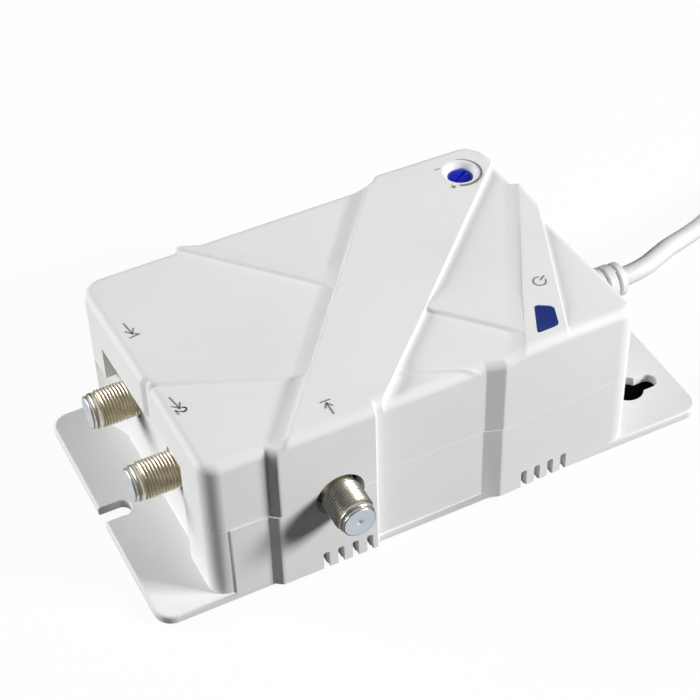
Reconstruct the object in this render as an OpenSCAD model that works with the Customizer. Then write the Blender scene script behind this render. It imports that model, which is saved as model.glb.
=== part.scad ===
// TV signal amplifier: one input, two outputs, mains powered, in a two-shell plastic case
// +X runs along the case towards the cord, +Y to the back, +Z up
// The origin is the centre of the base plate's underside

/* [Base plate] */
// Length of the base plate, over both mounting flanges
base_length = 146; // [140:1:156]
// Depth of the base plate, front to back
base_depth = 73; // [72:1:80]
// Thickness of the base plate and its flanges
base_thickness = 2.5; // [2:0.1:3.5]
// Corner radius of the base plate
base_corner = 4.5; // [2:0.5:6]
// Length of the flange beyond the output end
left_flange = 13.8; // [12:0.2:16]
// Length of the flange beyond the cord end
right_flange = 24.6; // [22:0.2:27]

/* [Wall fixings] */
// Width of the open slot in the left flange
slot_width = 5; // [4.4:0.1:5.6]
// Reach of the open slot into the left flange
slot_reach = 7.5; // [6:0.1:9]
// Radius of a keyhole's round part
keyhole_radius = 4.1; // [3.6:0.1:4.6]
// Width of a keyhole's narrow part
keyhole_slot_width = 4.5; // [4.2:0.1:5]
// Travel from a keyhole's round part to the end of its narrow part
keyhole_travel = 6; // [5:0.2:7]
// Distance between the two keyholes
keyhole_pitch = 45; // [40:1:50]
// Distance from the flange's end to a keyhole's round centre
keyhole_from_end = 13; // [12:0.2:14]

/* [Case] */
// Height of the lowest band of the top face
case_height = 44.3; // [43.5:0.1:48]
// Height of the parting line between the two shells
seam_height = 23.5; // [22.5:0.1:24.5]
// Wall thickness of the shells
wall = 2.2; // [1.8:0.1:2.4]
// Radius of the rounded top edge
top_round = 2.4; // [1.5:0.1:3]
// Radius of the upright corners
case_corner = 3.2; // [2.5:0.1:4.5]
// Distance from the base plate's front edge to the case front
front_setback = 0.4; // [0.2:0.1:1]
// Distance from the case back to the base plate's back edge
back_setback = 3.6; // [3:0.1:4.5]
// Height of the tongue that locates the upper shell
tongue_height = 1.5; // [1:0.1:2]
// Clearance round the tongue and round parts set into the shells
fit_gap = 0.15; // [0.1:0.05:0.3]

/* [Folded bands] */
// Rise of the rear bands over the lowest band
rear_rise = 0.8; // [0.5:0.1:1.2]
// Rise of the folded ridge over the rear bands
ridge_rise = 1.1; // [0.6:0.1:1.4]
// Rise of the main diagonal band over the lowest band
main_rise = 2.1; // [1.7:0.1:2.6]
// Rise of the narrow band that holds the power light
narrow_rise = 1.7; // [1.4:0.1:2]
// Distance the input end of the main band stands out from the front wall
front_step = 1.9; // [1.5:0.1:2.2]
// Distance the back end of the main band stands out from the back wall
back_step = 2.5; // [2:0.1:2.8]
// Distance the rear band stands out from the front wall, at its step
corner_step = 1.5; // [1:0.1:1.8]
// Distance the rear band stands out from the output end, at its step
side_step = 1.9; // [1.4:0.1:2.2]
// Distance the case's front corner stands out at the cord end
cord_step = 2.2; // [1.8:0.1:2.6]

/* [Sockets] */
// Distance of the input socket from the output end of the case
input_from_left = 31.5; // [30:0.5:34]
// Distance between the two output sockets
output_pitch = 26; // [25:0.5:28]
// Shift of the output pair and its recess from the middle of the base plate
output_shift = 0; // [-0.5:0.1:0.5]
// Outer radius of the socket thread, 3/8-32
thread_radius = 4.76; // [4.6:0.01:4.9]
// Length of a socket from the screening box to its tip
socket_length = 16; // [15:0.5:17]
// Length of the free thread of a socket
thread_length = 7; // [6:0.5:9]
// Length of the plain nose at a socket's tip
nose_length = 2.4; // [2:0.1:3.5]
// Radius of the white insulator in a socket
insulator_radius = 3.6; // [3.2:0.1:3.8]
// Radius of the clearance hole round the input socket
input_hole_radius = 6; // [5.6:0.1:6.4]
// Radius of the clearance holes round the output sockets
output_hole_radius = 5.3; // [5.1:0.1:5.6]
// Depth of the recess round the output sockets
recess_depth = 1.8; // [1.2:0.1:2]
// Height of the top of the recess
recess_top = 33.2; // [32:0.2:35]
// Width of the recess beyond each output socket's axis
recess_margin = 9; // [8:0.5:9.5]

/* [Vents] */
// Number of notches in each row of vents
vent_count = 4; // [2:1:5]
// Distance from notch to notch
vent_pitch = 3.75; // [3.4:0.05:4]
// Width of a vent notch
vent_width = 1.6; // [1.2:0.1:2]
// Height of the vent notches over the table
vent_height = 5.8; // [5:0.1:7]
// Distance of the first row of vents from the output end
vent_row_a = 26.5; // [26:0.1:28]
// Distance of the second row of vents from the output end
vent_row_b = 79.5; // [79:0.1:82]

/* [Gain dial and power light] */
// Distance of the dial's axis from the cord end of the case
dial_from_right = 10.2; // [9.8:0.1:11]
// Distance of the dial's axis from the case back
dial_from_back = 6.9; // [6.8:0.1:8]
// Radius of the dial
dial_radius = 3.2; // [3:0.1:3.6]
// Radial gap round the dial in its well
dial_gap = 0.3; // [0.25:0.05:0.6]
// Depth of the dial's face under the top
dial_depth = 1.5; // [1:0.1:1.8]
// Radius of the dial's spindle
spindle_radius = 1.5; // [1.2:0.1:1.8]
// Running clearance of the spindle in the potentiometer, on radius
running_gap = 0.05; // [0.02:0.01:0.08]
// Distance of the power light from the cord end of the case
light_from_right = 19.5; // [19:0.5:21]
// Distance of the power light from the case front
light_from_front = 6.9; // [6.7:0.1:7.5]
// Radius of the light guide under the power light's window
guide_radius = 1.5; // [1:0.1:1.8]

/* [Circuit] */
// Height of the underside of the circuit board
board_height = 12.4; // [11.5:0.1:13]
// Thickness of the circuit board
board_thickness = 1.6; // [1.2:0.1:1.8]
// Gap between the circuit board and the case walls
board_gap = 0.6; // [0.4:0.1:1]
// Length of the screening box
shield_length = 39; // [37:0.5:39.5]
// Height of the screening box
shield_height = 17.5; // [17:0.5:19]
// Sheet thickness of the screening box
sheet = 0.5; // [0.4:0.1:0.8]
// Radius of the case screw posts
post_radius = 3.5; // [3.2:0.1:3.8]
// Radius of the case screws
screw_radius = 1.45; // [1.2:0.05:1.6]
// Width of the transformer's iron core
core_width = 35; // [33:0.5:36]
// Gap between the transformer's iron core and the case top
core_headroom = 2.1; // [1.5:0.1:4]
// Thickness of the transformer's iron core
core_depth = 15; // [14:0.5:16]

/* [Mains lead] */
// Diameter of the mains lead
cord_diameter = 5; // [4.6:0.1:5.2]
// Distance of the lead from the case front
cord_from_front = 30.6; // [29:0.2:32]
// Length of the strain relief outside the case
relief_length = 18.6; // [18:0.2:20]
// Turns of the put-away coil
coil_turns = 7.5; // [7.5:1:8.5]
// Gap between neighbouring turns of the coil
coil_gap = 0.5; // [0.45:0.05:0.8]
// Radius of the coil at the middle of its turns
coil_middle = 27.5; // [26:0.5:30]
// Radius of a plug pin
pin_radius = 2; // [1.9:0.05:2.4]
// Length of a plug pin
pin_length = 19; // [17:0.5:19]
// Distance between the plug pins
pin_pitch = 18.6; // [17.5:0.1:19]

/* [Hidden] */

// Smoothness of round forms
$fn = 64;
// Overrun of a cut past the face that it opens
past = 1;
// Gap that keeps separate parts from touching
air = 0.3;

// Faces of the base plate and the case
base_x0 = -base_length / 2;
base_x1 = base_length / 2;
base_y0 = -base_depth / 2;
base_y1 = base_depth / 2;
case_x0 = base_x0 + left_flange;
case_x1 = base_x1 - right_flange;
case_y0 = base_y0 + front_setback;
case_y1 = base_y1 - back_setback;
room_x0 = case_x0 + wall;
room_x1 = case_x1 - wall;
room_y0 = case_y0 + wall;
room_y1 = case_y1 - wall;
room_top = case_height - wall;

// Axes of the sockets, the dial, the light and the lead
socket_z = seam_height;
input_x = case_x0 + input_from_left;
output_2_y = output_shift - output_pitch / 2;
output_1_y = output_shift + output_pitch / 2;
dial_x = case_x1 - dial_from_right;
dial_y = case_y1 - dial_from_back;
dial_top = case_height + main_rise - dial_depth;
well_radius = dial_radius + dial_gap;
light_x = case_x1 - light_from_right;
light_y = case_y0 + light_from_front;
cord_y = case_y0 + cord_from_front;
cord_z = seam_height;
cord_radius = cord_diameter / 2;

// Recess round the output sockets, and the wall behind it
recess_x = case_x0 + recess_depth;
recess_y0 = output_2_y - recess_margin;
recess_y1 = output_1_y + recess_margin;
recess_wall_x = recess_x + wall;

// Circuit board and screening box
board_top = board_height + board_thickness;
board_x0 = recess_wall_x + board_gap;
board_x1 = room_x1 - board_gap * 2;
board_y0 = room_y0 + board_gap;
board_y1 = room_y1 - board_gap;
flange_thickness = 1.8;
shield_x0 = recess_wall_x + flange_thickness + board_gap;
shield_x1 = shield_x0 + shield_length;
shield_y0 = room_y0 + flange_thickness + board_gap;
shield_y1 = board_y1 - 7.6;
shield_top = board_top + shield_height;
spigot_radius = thread_radius - 0.3;

// Places of the case screws and the board screws
post_inset = post_radius - 0.1;
case_posts = [
    [room_x0 + 5.4, room_y1 - post_inset],
    [room_x1 - 2.9, dial_y - 12],
    [room_x1 - 2.9, room_y0 + post_inset],
    [shield_x1 + 5, room_y0 + post_inset]
];
board_posts = [
    [shield_x0 + 6, shield_y0 + 5],
    [shield_x0 + 9, room_y1 - 4.2],
    [room_x1 - 10, room_y0 + 4.2],
    [dial_x - 11, room_y1 - 4]
];
board_post_radius = 3;
// Clearance of the circuit board round the case screw posts
post_gap = 0.8;
board_screw_radius = 1.2;
screw_seat = 15;
screw_top = 33;

// Power supply parts on the board, each a step from its neighbour
part_gap = 0.6;
pot_half = 4.2;
core_height = room_top - board_top - core_headroom;
core_x = case_x1 - 29.4;
core_y = dial_y - pot_half - part_gap - core_depth / 2;
limb = core_width / 6;
coil_half_x = core_width / 2 - limb - air;
coil_half_y = core_depth / 2 + 4.5;
coil_z0 = board_top + limb + air;
coil_z1 = board_top + core_height - limb - air;
sink_x = light_x - 9.9;
sink_y = light_y + 4.2;
sink_depth = 5;
block_x0 = case_x1 - 17.4;
block_x1 = case_x1 - 9.9;
fuse_length = 20;
clip_half = 3.2;
fuse_x = block_x1 - fuse_length / 2;
fuse_y = sink_y + sink_depth + part_gap + clip_half;
fuse_z = board_top + 4;
capacitor_radius = 5;
capacitor_y = fuse_y + clip_half + part_gap + capacitor_radius;
diode_y = case_posts[3][1] + post_radius + post_gap + part_gap + 1.35;
relief_inner_x = room_x1 - 2.8;
relief_outer_x = case_x1 + relief_length;

// A straight band edge: its X where it crosses the case front, and where it crosses the back,
// both measured from the output end
main_left = [20.2, 75.4];
main_right = [43.3, 113.7];
narrow_left = [79.3, 117.5];
narrow_right = [90.8, 119.3];
ridge_back = [105.4, 29.6];
ridge_front = [86.2, 24.6];
// The rear bands' front edge crosses the output end at this distance from the front
rear_left = 30.6;
rear_right = 68.6;

// Free part of the mains lead: round points from the strain relief to the coil
cord_start = [relief_outer_x, cord_y, cord_z];
cord_route = [
    [69, -5.5, 23.5], [72.5, -5.1, 23.5], [76, -4, 23.1], [79.5, -2.2, 22.3], [86, 1.8, 19.9],
    [93, 6.2, 16.4], [100, 10.8, 12.6], [108, 16, 8.9], [116, 21.3, 6.2],
    [124, 26.2, 4.6], [132, 29.8, 3.8], [139, 31.7, 3.6], [145, 31.8, 3.6],
    [152, 31.8, 3.6], [159, 31.8, 3.6]
];
coil_x = 164;
coil_y = -6;
tie_thickness = 0.8;
coil_z = tie_thickness + air + cord_radius;
coil_pitch = cord_diameter + coil_gap;
coil_spread = coil_pitch * coil_turns / 2;
coil_inner = coil_middle - coil_spread / 2;
coil_outer = coil_inner + coil_spread;
coil_rings = 24;
coil_steps = coil_turns * coil_rings;
lead_in = cord_diameter;
tail_run = 18;
tail_shift = 5;
plug_back_x = coil_x - lead_in - tail_run;
plug_length = 34;
plug_z = 7.5;
plug_y = coil_y - coil_outer - tail_shift;

// X of a band edge at a given Y
function edge_x(edge, y) =
    case_x0 + edge[0] + (edge[1] - edge[0]) * (y - case_y0) / (case_y1 - case_y0);

// Y of a band edge at a given X
function edge_y(edge, x) =
    case_y0 + (x - case_x0 - edge[0]) * (case_y1 - case_y0) / (edge[1] - edge[0]);

// Four corners of a band between two edges, run past the front and back walls
function band(left, right) = let (y0 = case_y0 - 6, y1 = case_y1 + 6) [
    [edge_x(left, y0), y0], [edge_x(right, y0), y0],
    [edge_x(right, y1), y1], [edge_x(left, y1), y1]
];

function unit(v) = v / norm(v);

// Corners of a convex outline, listed anticlockwise, moved outwards by a distance
function grown(points, gap) = [
    for (i = [0:len(points) - 1])
        let (before = unit(points[i] - points[(i + len(points) - 1) % len(points)]),
            after = unit(points[(i + 1) % len(points)] - points[i]))
        points[i] + gap * (before - after) / cross(before, after)
];

// Direction of a path at one of its points
function heading(path, i) =
    unit(path[min(i + 1, len(path) - 1)] - path[max(i - 1, 0)]);

// One ring of a tube, square to the path
function ring(path, i, radius, sides) =
    let (t = heading(path, i), s = unit(cross(t, [0, 0, 1])), u = cross(s, t))
    [for (k = [0:sides - 1]) let (a = 360 * (k + 0.5) / sides)
        path[i] + radius * (cos(a) * s + sin(a) * u)];

// Solid round tube along a path
module tube(path, radius, sides) {
    last = len(path) - 1;
    points = [for (i = [0:last]) each ring(path, i, radius, sides)];
    skin = [for (i = [0:last - 1], k = [0:sides - 1])
        let (a = i * sides + k, b = i * sides + (k + 1) % sides)
        each [[a, b, b + sides], [a, b + sides, a + sides]]];
    front = [for (k = [1:sides - 2]) [0, k + 1, k]];
    back = [for (k = [1:sides - 2]) [last * sides, last * sides + k, last * sides + k + 1]];
    polyhedron(points, concat(skin, front, back), convexity = 10);
}

// Length of a path
function path_length(path, i = 0) =
    i >= len(path) - 1 ? 0 : norm(path[i + 1] - path[i]) + path_length(path, i + 1);

// Coil: two layers that spiral in, climb in the half turn of the reversal, and spiral out
function coil_radius(i) = coil_inner + coil_spread * abs(1 - 2 * i / coil_steps);
function coil_rise(i) =
    let (t = (i - coil_steps / 2) / (coil_rings / 2) + 0.5, u = max(0, min(1, t)))
    coil_pitch * u * u * (3 - 2 * u);
function coil_point(i) =
    let (a = 90 - 360 * i / coil_rings)
    [coil_x + coil_radius(i) * cos(a), coil_y + coil_radius(i) * sin(a), coil_z + coil_rise(i)];
coil_path = concat(
    [[coil_x - lead_in, coil_y + coil_outer, coil_z]],
    [for (i = [0:coil_steps]) coil_point(i)],
    [[coil_x - lead_in, coil_y - coil_outer, coil_z + coil_pitch]]
);
cord_path = concat([cord_start], cord_route);
tail_x = coil_x - lead_in;
tail_y = coil_y - coil_outer;
tail_z = coil_z + coil_pitch;
tail_drop = tail_z - plug_z;
tail_steps = [[0, 0], [0.14, 0], [0.33, 0.18], [0.5, 0.5], [0.67, 0.82], [0.86, 1], [1, 1]];
tail_path = [for (t = tail_steps)
    [tail_x - tail_run * t[0], tail_y - tail_shift * t[1], tail_z - tail_drop * t[1]]];
half_loop = coil_rings / 2;
coil_least_gap = min([for (i = [1:coil_steps - half_loop], j = [i + half_loop:coil_steps])
    norm(coil_path[i] - coil_path[j])]) - cord_diameter;
echo(coil_least_gap = coil_least_gap);
echo(cord_length = path_length(cord_path) + path_length(coil_path) + path_length(tail_path));

// Flat rectangle with round corners
module rounded_rect(x0, y0, x1, y1, r) {
    translate([x0 + r, y0])
        square([x1 - x0 - 2 * r, y1 - y0]);
    translate([x0, y0 + r])
        square([x1 - x0, y1 - y0 - 2 * r]);
    for (x = [x0 + r, x1 - r], y = [y0 + r, y1 - r])
        translate([x, y])
            circle(r = r);
}

// Box between two corners
module block(low, high) {
    translate(low)
        cube(high - low);
}

// Block with round upright corners and a round top edge, grown on each side
module soft_block(west, east, south, north, rise, corner = case_corner) {
    top = case_height + rise;
    x0 = case_x0 - west;
    x1 = case_x1 + east;
    y0 = case_y0 - south;
    y1 = case_y1 + north;
    intersection() {
        linear_extrude(height = top)
            rounded_rect(x0, y0, x1, y1, corner);
        translate([0, y1, 0])
            rotate([90, 0, 0])
                linear_extrude(height = y1 - y0)
                    round_topped(x0, x1, top);
        translate([x0, 0, 0])
            rotate([90, 0, 90])
                linear_extrude(height = x1 - x0)
                    round_topped(y0, y1, top);
    }
}

// Upright rectangle with its two top corners round
module round_topped(a, b, top) {
    translate([a, 0])
        square([b - a, top - top_round]);
    translate([a + top_round, 0])
        square([b - a - 2 * top_round, top]);
    for (x = [a + top_round, b - top_round])
        translate([x, top - top_round])
            circle(r = top_round);
}

// Plan of everything behind the front edge of the rear bands
module rear_plan() {
    slope = rear_left / rear_right;
    far = 8;
    polygon([
        [case_x0 - far, case_y0 + rear_left + slope * far],
        [case_x0 + rear_right + far, case_y0 - slope * far],
        [case_x1 + far, case_y0 - slope * far],
        [case_x1 + far, case_y1 + far],
        [case_x0 - far, case_y1 + far]
    ]);
}

// Slanted wall face left of the input end of the main band
module input_ramp() {
    x = edge_x(main_left, case_y0);
    polygon([[x - 5.6, case_y0 + 0.5], [x - 5.6, case_y0], [x - 3, case_y0 - front_step],
        [x + 1, case_y0 - front_step], [x + 1, case_y0 + 0.5]]);
}

// Long block with a round top edge, whose front face slants from the step to the case corner
module front_bar(rise) {
    x = case_x0 + rear_right + panel_start;
    run = case_x1 - case_corner - x;
    translate([x, case_y0 - corner_step, 0])
        rotate([0, 0, atan(corner_step / run)])
            translate([-base_length, 0, 0])
                rotate([90, 0, 90])
                    linear_extrude(height = 2 * base_length)
                        round_topped(0, 2 * base_depth, case_height + rise);
}

// The same along the output end
module side_bar(rise) {
    y = case_y0 + rear_left + 1;
    run = case_y1 + rear_rise - case_corner - y;
    translate([case_x0 - side_step, y, 0])
        rotate([0, 0, -atan((side_step - rear_rise) / run)])
            translate([0, base_depth, 0])
                rotate([90, 0, 0])
                    linear_extrude(height = 2 * base_depth)
                        round_topped(0, 2 * base_length, case_height + rise);
}

// The same along the cord end, from the narrow band out to the front corner
module cord_bar(rise) {
    translate([case_x1, corner_back, 0])
        rotate([0, 0, atan(cord_step / (corner_back - case_y0))])
            translate([0, base_depth, 0])
                rotate([90, 0, 0])
                    linear_extrude(height = 2 * base_depth)
                        round_topped(-base_length, 0, case_height + rise);
}
corner_back = edge_y(narrow_right, case_x1);

// Width of the slanted face where the rear band's front wall starts
panel_start = 5.4;

// Plan of the rear band's wall along the front
module front_panel() {
    x = case_x0 + rear_right;
    polygon([[x + 1, case_y0 + 3], [x + 1, case_y0], [x + panel_start, case_y0 - corner_step],
        [case_x1 - case_corner, case_y0 - corner_step], [case_x1 - case_corner, case_y0 + 3]]);
}

// Plan of the rear band's wall along the output end
module side_panel() {
    y = case_y0 + rear_left;
    back = case_y1 + rear_rise - case_corner;
    polygon([[case_x0 + 3, y - 0.6], [case_x0, y - 0.6], [case_x0 - side_step, y + 1],
        [case_x0 - side_step, back], [case_x0 + 3, back]]);
}

// The folded ridge: flush at its back crease, raised at its front edge
module folded_ridge() {
    y0 = case_y0 - 6;
    out = case_y1 + rear_rise + 0.8 * ridge_rise;
    in = case_y1 + rear_rise;
    flush = case_height + rear_rise + 0.01;
    high = case_height + rear_rise + ridge_rise;
    plan = [[edge_x(ridge_front, y0), y0], [edge_x(ridge_back, y0), y0],
        [edge_x(ridge_back, in), in], [edge_x(ridge_front, out), out]];
    heights = [high, flush, flush, high];
    points = concat([for (p = plan) [p[0], p[1], 0]],
        [for (i = [0:3]) [plan[i][0], plan[i][1], heights[i]]]);
    intersection() {
        polyhedron(points, [[0, 1, 2], [0, 2, 3], [4, 6, 5], [4, 7, 6], [0, 5, 1], [0, 4, 5],
            [1, 6, 2], [1, 5, 6], [2, 7, 3], [2, 6, 7], [3, 4, 0], [3, 7, 4]]);
        soft_block(0, 0, corner_step, rear_rise + ridge_rise, rear_rise + ridge_rise);
        front_bar(rear_rise + ridge_rise);
    }
}

// Part of a block that lies within a band
module banded(left, right) {
    intersection() {
        children();
        linear_extrude(height = 2 * case_height)
            polygon(band(left, right));
    }
}

// Outside of the closed case
module case_form() {
    soft_block(0, 0, 0, 0, 0);
    intersection() {
        soft_block(rear_rise, 0, 0, rear_rise, rear_rise);
        linear_extrude(height = 2 * case_height)
            rear_plan();
    }
    intersection() {
        soft_block(0, 0, corner_step, 0, rear_rise);
        front_bar(rear_rise);
        linear_extrude(height = 2 * case_height)
            front_panel();
    }
    intersection() {
        soft_block(side_step, 0, 0, rear_rise, rear_rise);
        side_bar(rear_rise);
        linear_extrude(height = 2 * case_height)
            side_panel();
    }
    intersection() {
        soft_block(0, cord_step, 0, 0, rear_rise);
        cord_bar(rear_rise);
        block([room_x1, case_y0 - past, 0], [case_x1 + 2 * cord_step, corner_back, 2 * case_height]);
    }
    banded(main_left, main_right)
        soft_block(0, 0, front_step, back_step, main_rise, 7);
    banded(narrow_left, narrow_right)
        intersection() {
            soft_block(0, narrow_rise, corner_step, 0, narrow_rise);
            front_bar(narrow_rise);
        }
    difference() {
        folded_ridge();
        linear_extrude(height = 2 * case_height)
            polygon(band(narrow_left, narrow_right));
    }
    linear_extrude(height = case_height - top_round)
        input_ramp();
}

// Room inside the closed case
module case_room() {
    difference() {
        block([room_x0, room_y0, base_thickness], [room_x1, room_y1, room_top]);
        block([room_x0 - past, recess_y0 - wall, 0],
            [recess_wall_x, recess_y1 + wall, recess_top + wall]);
    }
}

// Cut that makes the recess round the output sockets
module recess_cut() {
    block([case_x0 - 10, recess_y0, base_thickness], [recess_x, recess_y1, recess_top]);
}

// Cuts for the sockets and the lead, shared by both shells
module socket_holes() {
    translate([input_x, case_y0 - 10, socket_z])
        rotate([-90, 0, 0])
            cylinder(r = input_hole_radius, h = 10 + wall + past);
    for (y = [output_1_y, output_2_y])
        translate([case_x0 - 10, y, socket_z])
            rotate([0, 90, 0])
                cylinder(r = output_hole_radius, h = 10 + recess_depth + wall + past);
    translate([room_x1 - past, cord_y, cord_z])
        rotate([0, 90, 0])
            cylinder(r = relief_neck + fit_gap, h = 10);
    translate([case_x1, cord_y, cord_z])
        rotate([0, 90, 0])
            cylinder(r = relief_flange + fit_gap, h = 10);
}

// Tongue of the lower shell, grown for the groove of the upper shell
module tongue(gap) {
    x0 = recess_wall_x + 6 - gap;
    half = wall / 2 + gap;
    top = seam_height + tongue_height + gap;
    difference() {
        block([x0, room_y0 - half, seam_height - past], [room_x1 + half, room_y1 + half, top]);
        block([x0 - past, room_y0, 0], [room_x1, room_y1, top + past]);
    }
}

// Wall fixing holes of the base plate
module fixing_holes() {
    h = base_thickness + 2 * past;
    translate([0, 0, -past]) {
        translate([base_x0 + slot_reach - slot_width / 2, 0, 0])
            cylinder(d = slot_width, h = h);
        block([base_x0 - past, -slot_width / 2, 0],
            [base_x0 + slot_reach - slot_width / 2, slot_width / 2, h]);
        for (y = [-keyhole_pitch / 2, keyhole_pitch / 2]) {
            translate([keyhole_x, y, 0])
                cylinder(r = keyhole_radius, h = h);
            translate([keyhole_x + keyhole_travel, y, 0])
                cylinder(d = keyhole_slot_width, h = h);
            block([keyhole_x, y - keyhole_slot_width / 2, 0],
                [keyhole_x + keyhole_travel, y + keyhole_slot_width / 2, h]);
        }
    }
}
keyhole_x = base_x1 - keyhole_from_end;

// Two rows of vent notches, open at the bottom of the front wall
module vents() {
    for (row = [vent_row_a, vent_row_b], i = [0:vent_count - 1])
        block([case_x0 + row + i * vent_pitch, case_y0 - 5, -past],
            [case_x0 + row + i * vent_pitch + vent_width, room_y0, vent_height]);
}

module lower_case() {
    color("white")
    difference() {
        union() {
            intersection() {
                case_form();
                block([base_x0, base_y0 - 5, 0], [base_x1, base_y1 + 5, seam_height]);
            }
            linear_extrude(height = base_thickness)
                rounded_rect(base_x0, base_y0, base_x1, base_y1, base_corner);
            tongue(0);
        }
        difference() {
            case_room();
            for (p = case_posts)
                translate([p[0], p[1], 0])
                    cylinder(r = post_radius, h = seam_height);
            for (p = board_posts)
                translate([p[0], p[1], 0])
                    cylinder(r = board_post_radius, h = board_height);
        }
        recess_cut();
        socket_holes();
        fixing_holes();
        vents();
        for (p = case_posts)
            translate([p[0], p[1], -past]) {
                cylinder(r = screw_radius + 0.25, h = seam_height + 2 * past + tongue_height);
                cylinder(r = 2 * screw_radius + 0.1, h = screw_seat + past);
            }
        for (p = board_posts)
            translate([p[0], p[1], base_thickness])
                cylinder(r = board_screw_radius + 0.05, h = board_height);
    }
}

module upper_case() {
    color("white")
    difference() {
        intersection() {
            case_form();
            block([base_x0, base_y0 - 5, seam_height], [base_x1, base_y1 + 5, 2 * case_height]);
        }
        difference() {
            case_room();
            for (p = case_posts)
                translate([p[0], p[1], seam_height])
                    cylinder(r = post_radius, h = case_height);
        }
        recess_cut();
        socket_holes();
        tongue(fit_gap);
        for (p = case_posts)
            translate([p[0], p[1], seam_height - past])
                cylinder(r = screw_radius + 0.05, h = screw_top + past + air - seam_height);
        translate([dial_x, dial_y, room_top - past])
            cylinder(r = well_radius, h = 10);
        translate([dial_x, dial_y, case_height + main_rise - 0.8])
            cylinder(r1 = well_radius, r2 = well_radius + 1, h = 1);
        translate([0, 0, room_top - past])
            linear_extrude(height = 10)
                polygon(grown(window, fit_gap));
    }
}

// Plan of the power light's window
window = [
    [light_x - 3.8, light_y - 4.2], [light_x + 1.8, light_y - 4.1],
    [light_x + 4.1, light_y + 1.8], [light_x + 0.5, light_y + 4.3]
];

// Width of the ledge that holds the window under the case top
lens_flange = 0.35;

module power_lens() {
    color("navy") {
        translate([0, 0, room_top - air])
            linear_extrude(height = case_height + narrow_rise - room_top + air)
                polygon(window);
        translate([0, 0, room_top - air - 1])
            linear_extrude(height = 1)
                polygon(grown(window, lens_flange));
        translate([light_x, light_y, led_top + air])
            cylinder(r = guide_radius, h = room_top - air - 1 - led_top - air);
    }
}
led_top = board_top + 6;

module power_led() {
    color("lightblue")
    translate([light_x, light_y, board_top]) {
        cylinder(r = 2.9, h = 1);
        cylinder(r = 2.5, h = 4);
        translate([0, 0, 4])
            cylinder(r1 = 2.5, r2 = 1.4, h = 2);
    }
}

// Pan-head screw with its seat at the origin, pointing up
module screw(radius, length) {
    translate([0, 0, -2])
        difference() {
            cylinder(r = 2 * radius - 0.1, h = 2);
            block([-radius * 1.4, -0.4, -past], [radius * 1.4, 0.4, 0.9]);
            block([-0.4, -radius * 1.4, -past], [0.4, radius * 1.4, 0.9]);
        }
    cylinder(r = radius, h = length - radius);
    translate([0, 0, length - radius])
        cylinder(r1 = radius, r2 = radius * 0.3, h = radius);
}

module case_screws() {
    color("silver")
    for (p = case_posts)
        translate([p[0], p[1], screw_seat])
            screw(screw_radius, screw_top - screw_seat);
}

module board_screws() {
    color("silver")
    for (p = board_posts)
        translate([p[0], p[1], board_top])
            rotate([180, 0, 0])
                screw(board_screw_radius, 8);
}

module circuit_board() {
    color("darkgreen")
    difference() {
        block([board_x0, board_y0, board_height], [board_x1, board_y1, board_top]);
        for (p = case_posts)
            translate([p[0], p[1], board_height - past])
                cylinder(r = post_radius + post_gap, h = board_thickness + 2 * past);
        for (p = board_posts)
            translate([p[0], p[1], board_height - past])
                cylinder(r = board_screw_radius + 0.3, h = board_thickness + 2 * past);
    }
}

module shield_frame() {
    color("gainsboro")
    difference() {
        block([shield_x0, shield_y0, board_top], [shield_x1, shield_y1, shield_top]);
        block([shield_x0 + sheet, shield_y0 + sheet, board_top - past],
            [shield_x1 - sheet, shield_y1 - sheet, shield_top + past]);
        for (y = [output_1_y, output_2_y])
            translate([shield_x0 - past, y, socket_z])
                rotate([0, 90, 0])
                    cylinder(r = spigot_radius + 0.05, h = sheet + 2 * past);
        translate([input_x, shield_y0 - past, socket_z])
            rotate([-90, 0, 0])
                cylinder(r = spigot_radius + 0.05, h = sheet + 2 * past);
        for (y = [-12, 0, 12])
            block([shield_x1 - sheet - past, y - 1, board_top - past],
                [shield_x1 + past, y + 1, board_top + 2]);
    }
}

module shield_lid() {
    skirt = 1.1;
    color("gainsboro")
    difference() {
        block([shield_x0 - sheet - 0.05, shield_y0 - sheet - 0.05, shield_top - skirt],
            [shield_x1 + sheet + 0.05, shield_y1 + sheet + 0.05, shield_top + sheet]);
        block([shield_x0 - 0.05, shield_y0 - 0.05, shield_top - skirt - past],
            [shield_x1 + 0.05, shield_y1 + 0.05, shield_top]);
        for (x = [shield_x0 + 10:9:shield_x1 - 6], y = [shield_y0 + 12:14:shield_y1 - 8])
            translate([x, y, shield_top - past])
                cylinder(r = 1, h = sheet + 2 * past);
    }
}

// Place a socket's part: its axis runs out of the screening box along +Z of the part
module at_input() {
    translate([input_x, shield_y0, socket_z])
        rotate([90, 0, 0])
            children();
}
module at_output(y) {
    translate([shield_x0, y, socket_z])
        rotate([0, -90, 0])
            children();
}
contact_radius = 1.2;
spigot_length = 2.5;

// Threaded body of a socket with its hexagon flange and stepped nose
module socket_shell() {
    color("silver")
    difference() {
        union() {
            translate([0, 0, -spigot_length])
                cylinder(r = spigot_radius, h = spigot_length + past);
            cylinder(r = 6.3, h = flange_thickness, $fn = 6);
            cylinder(r = thread_radius - 0.2, h = socket_length - nose_length);
            translate([0, 0, socket_length - nose_length - thread_length])
                cylinder(r = thread_radius, h = thread_length);
            cylinder(r = thread_radius - 0.7, h = socket_length - 0.1);
            translate([0, 0, socket_length - nose_length + 0.8])
                cylinder(r = thread_radius - 0.4, h = nose_length - 1.1);
        }
        translate([0, 0, -spigot_length - past])
            cylinder(r = insulator_radius, h = socket_length + spigot_length + 2 * past);
    }
}

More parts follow.
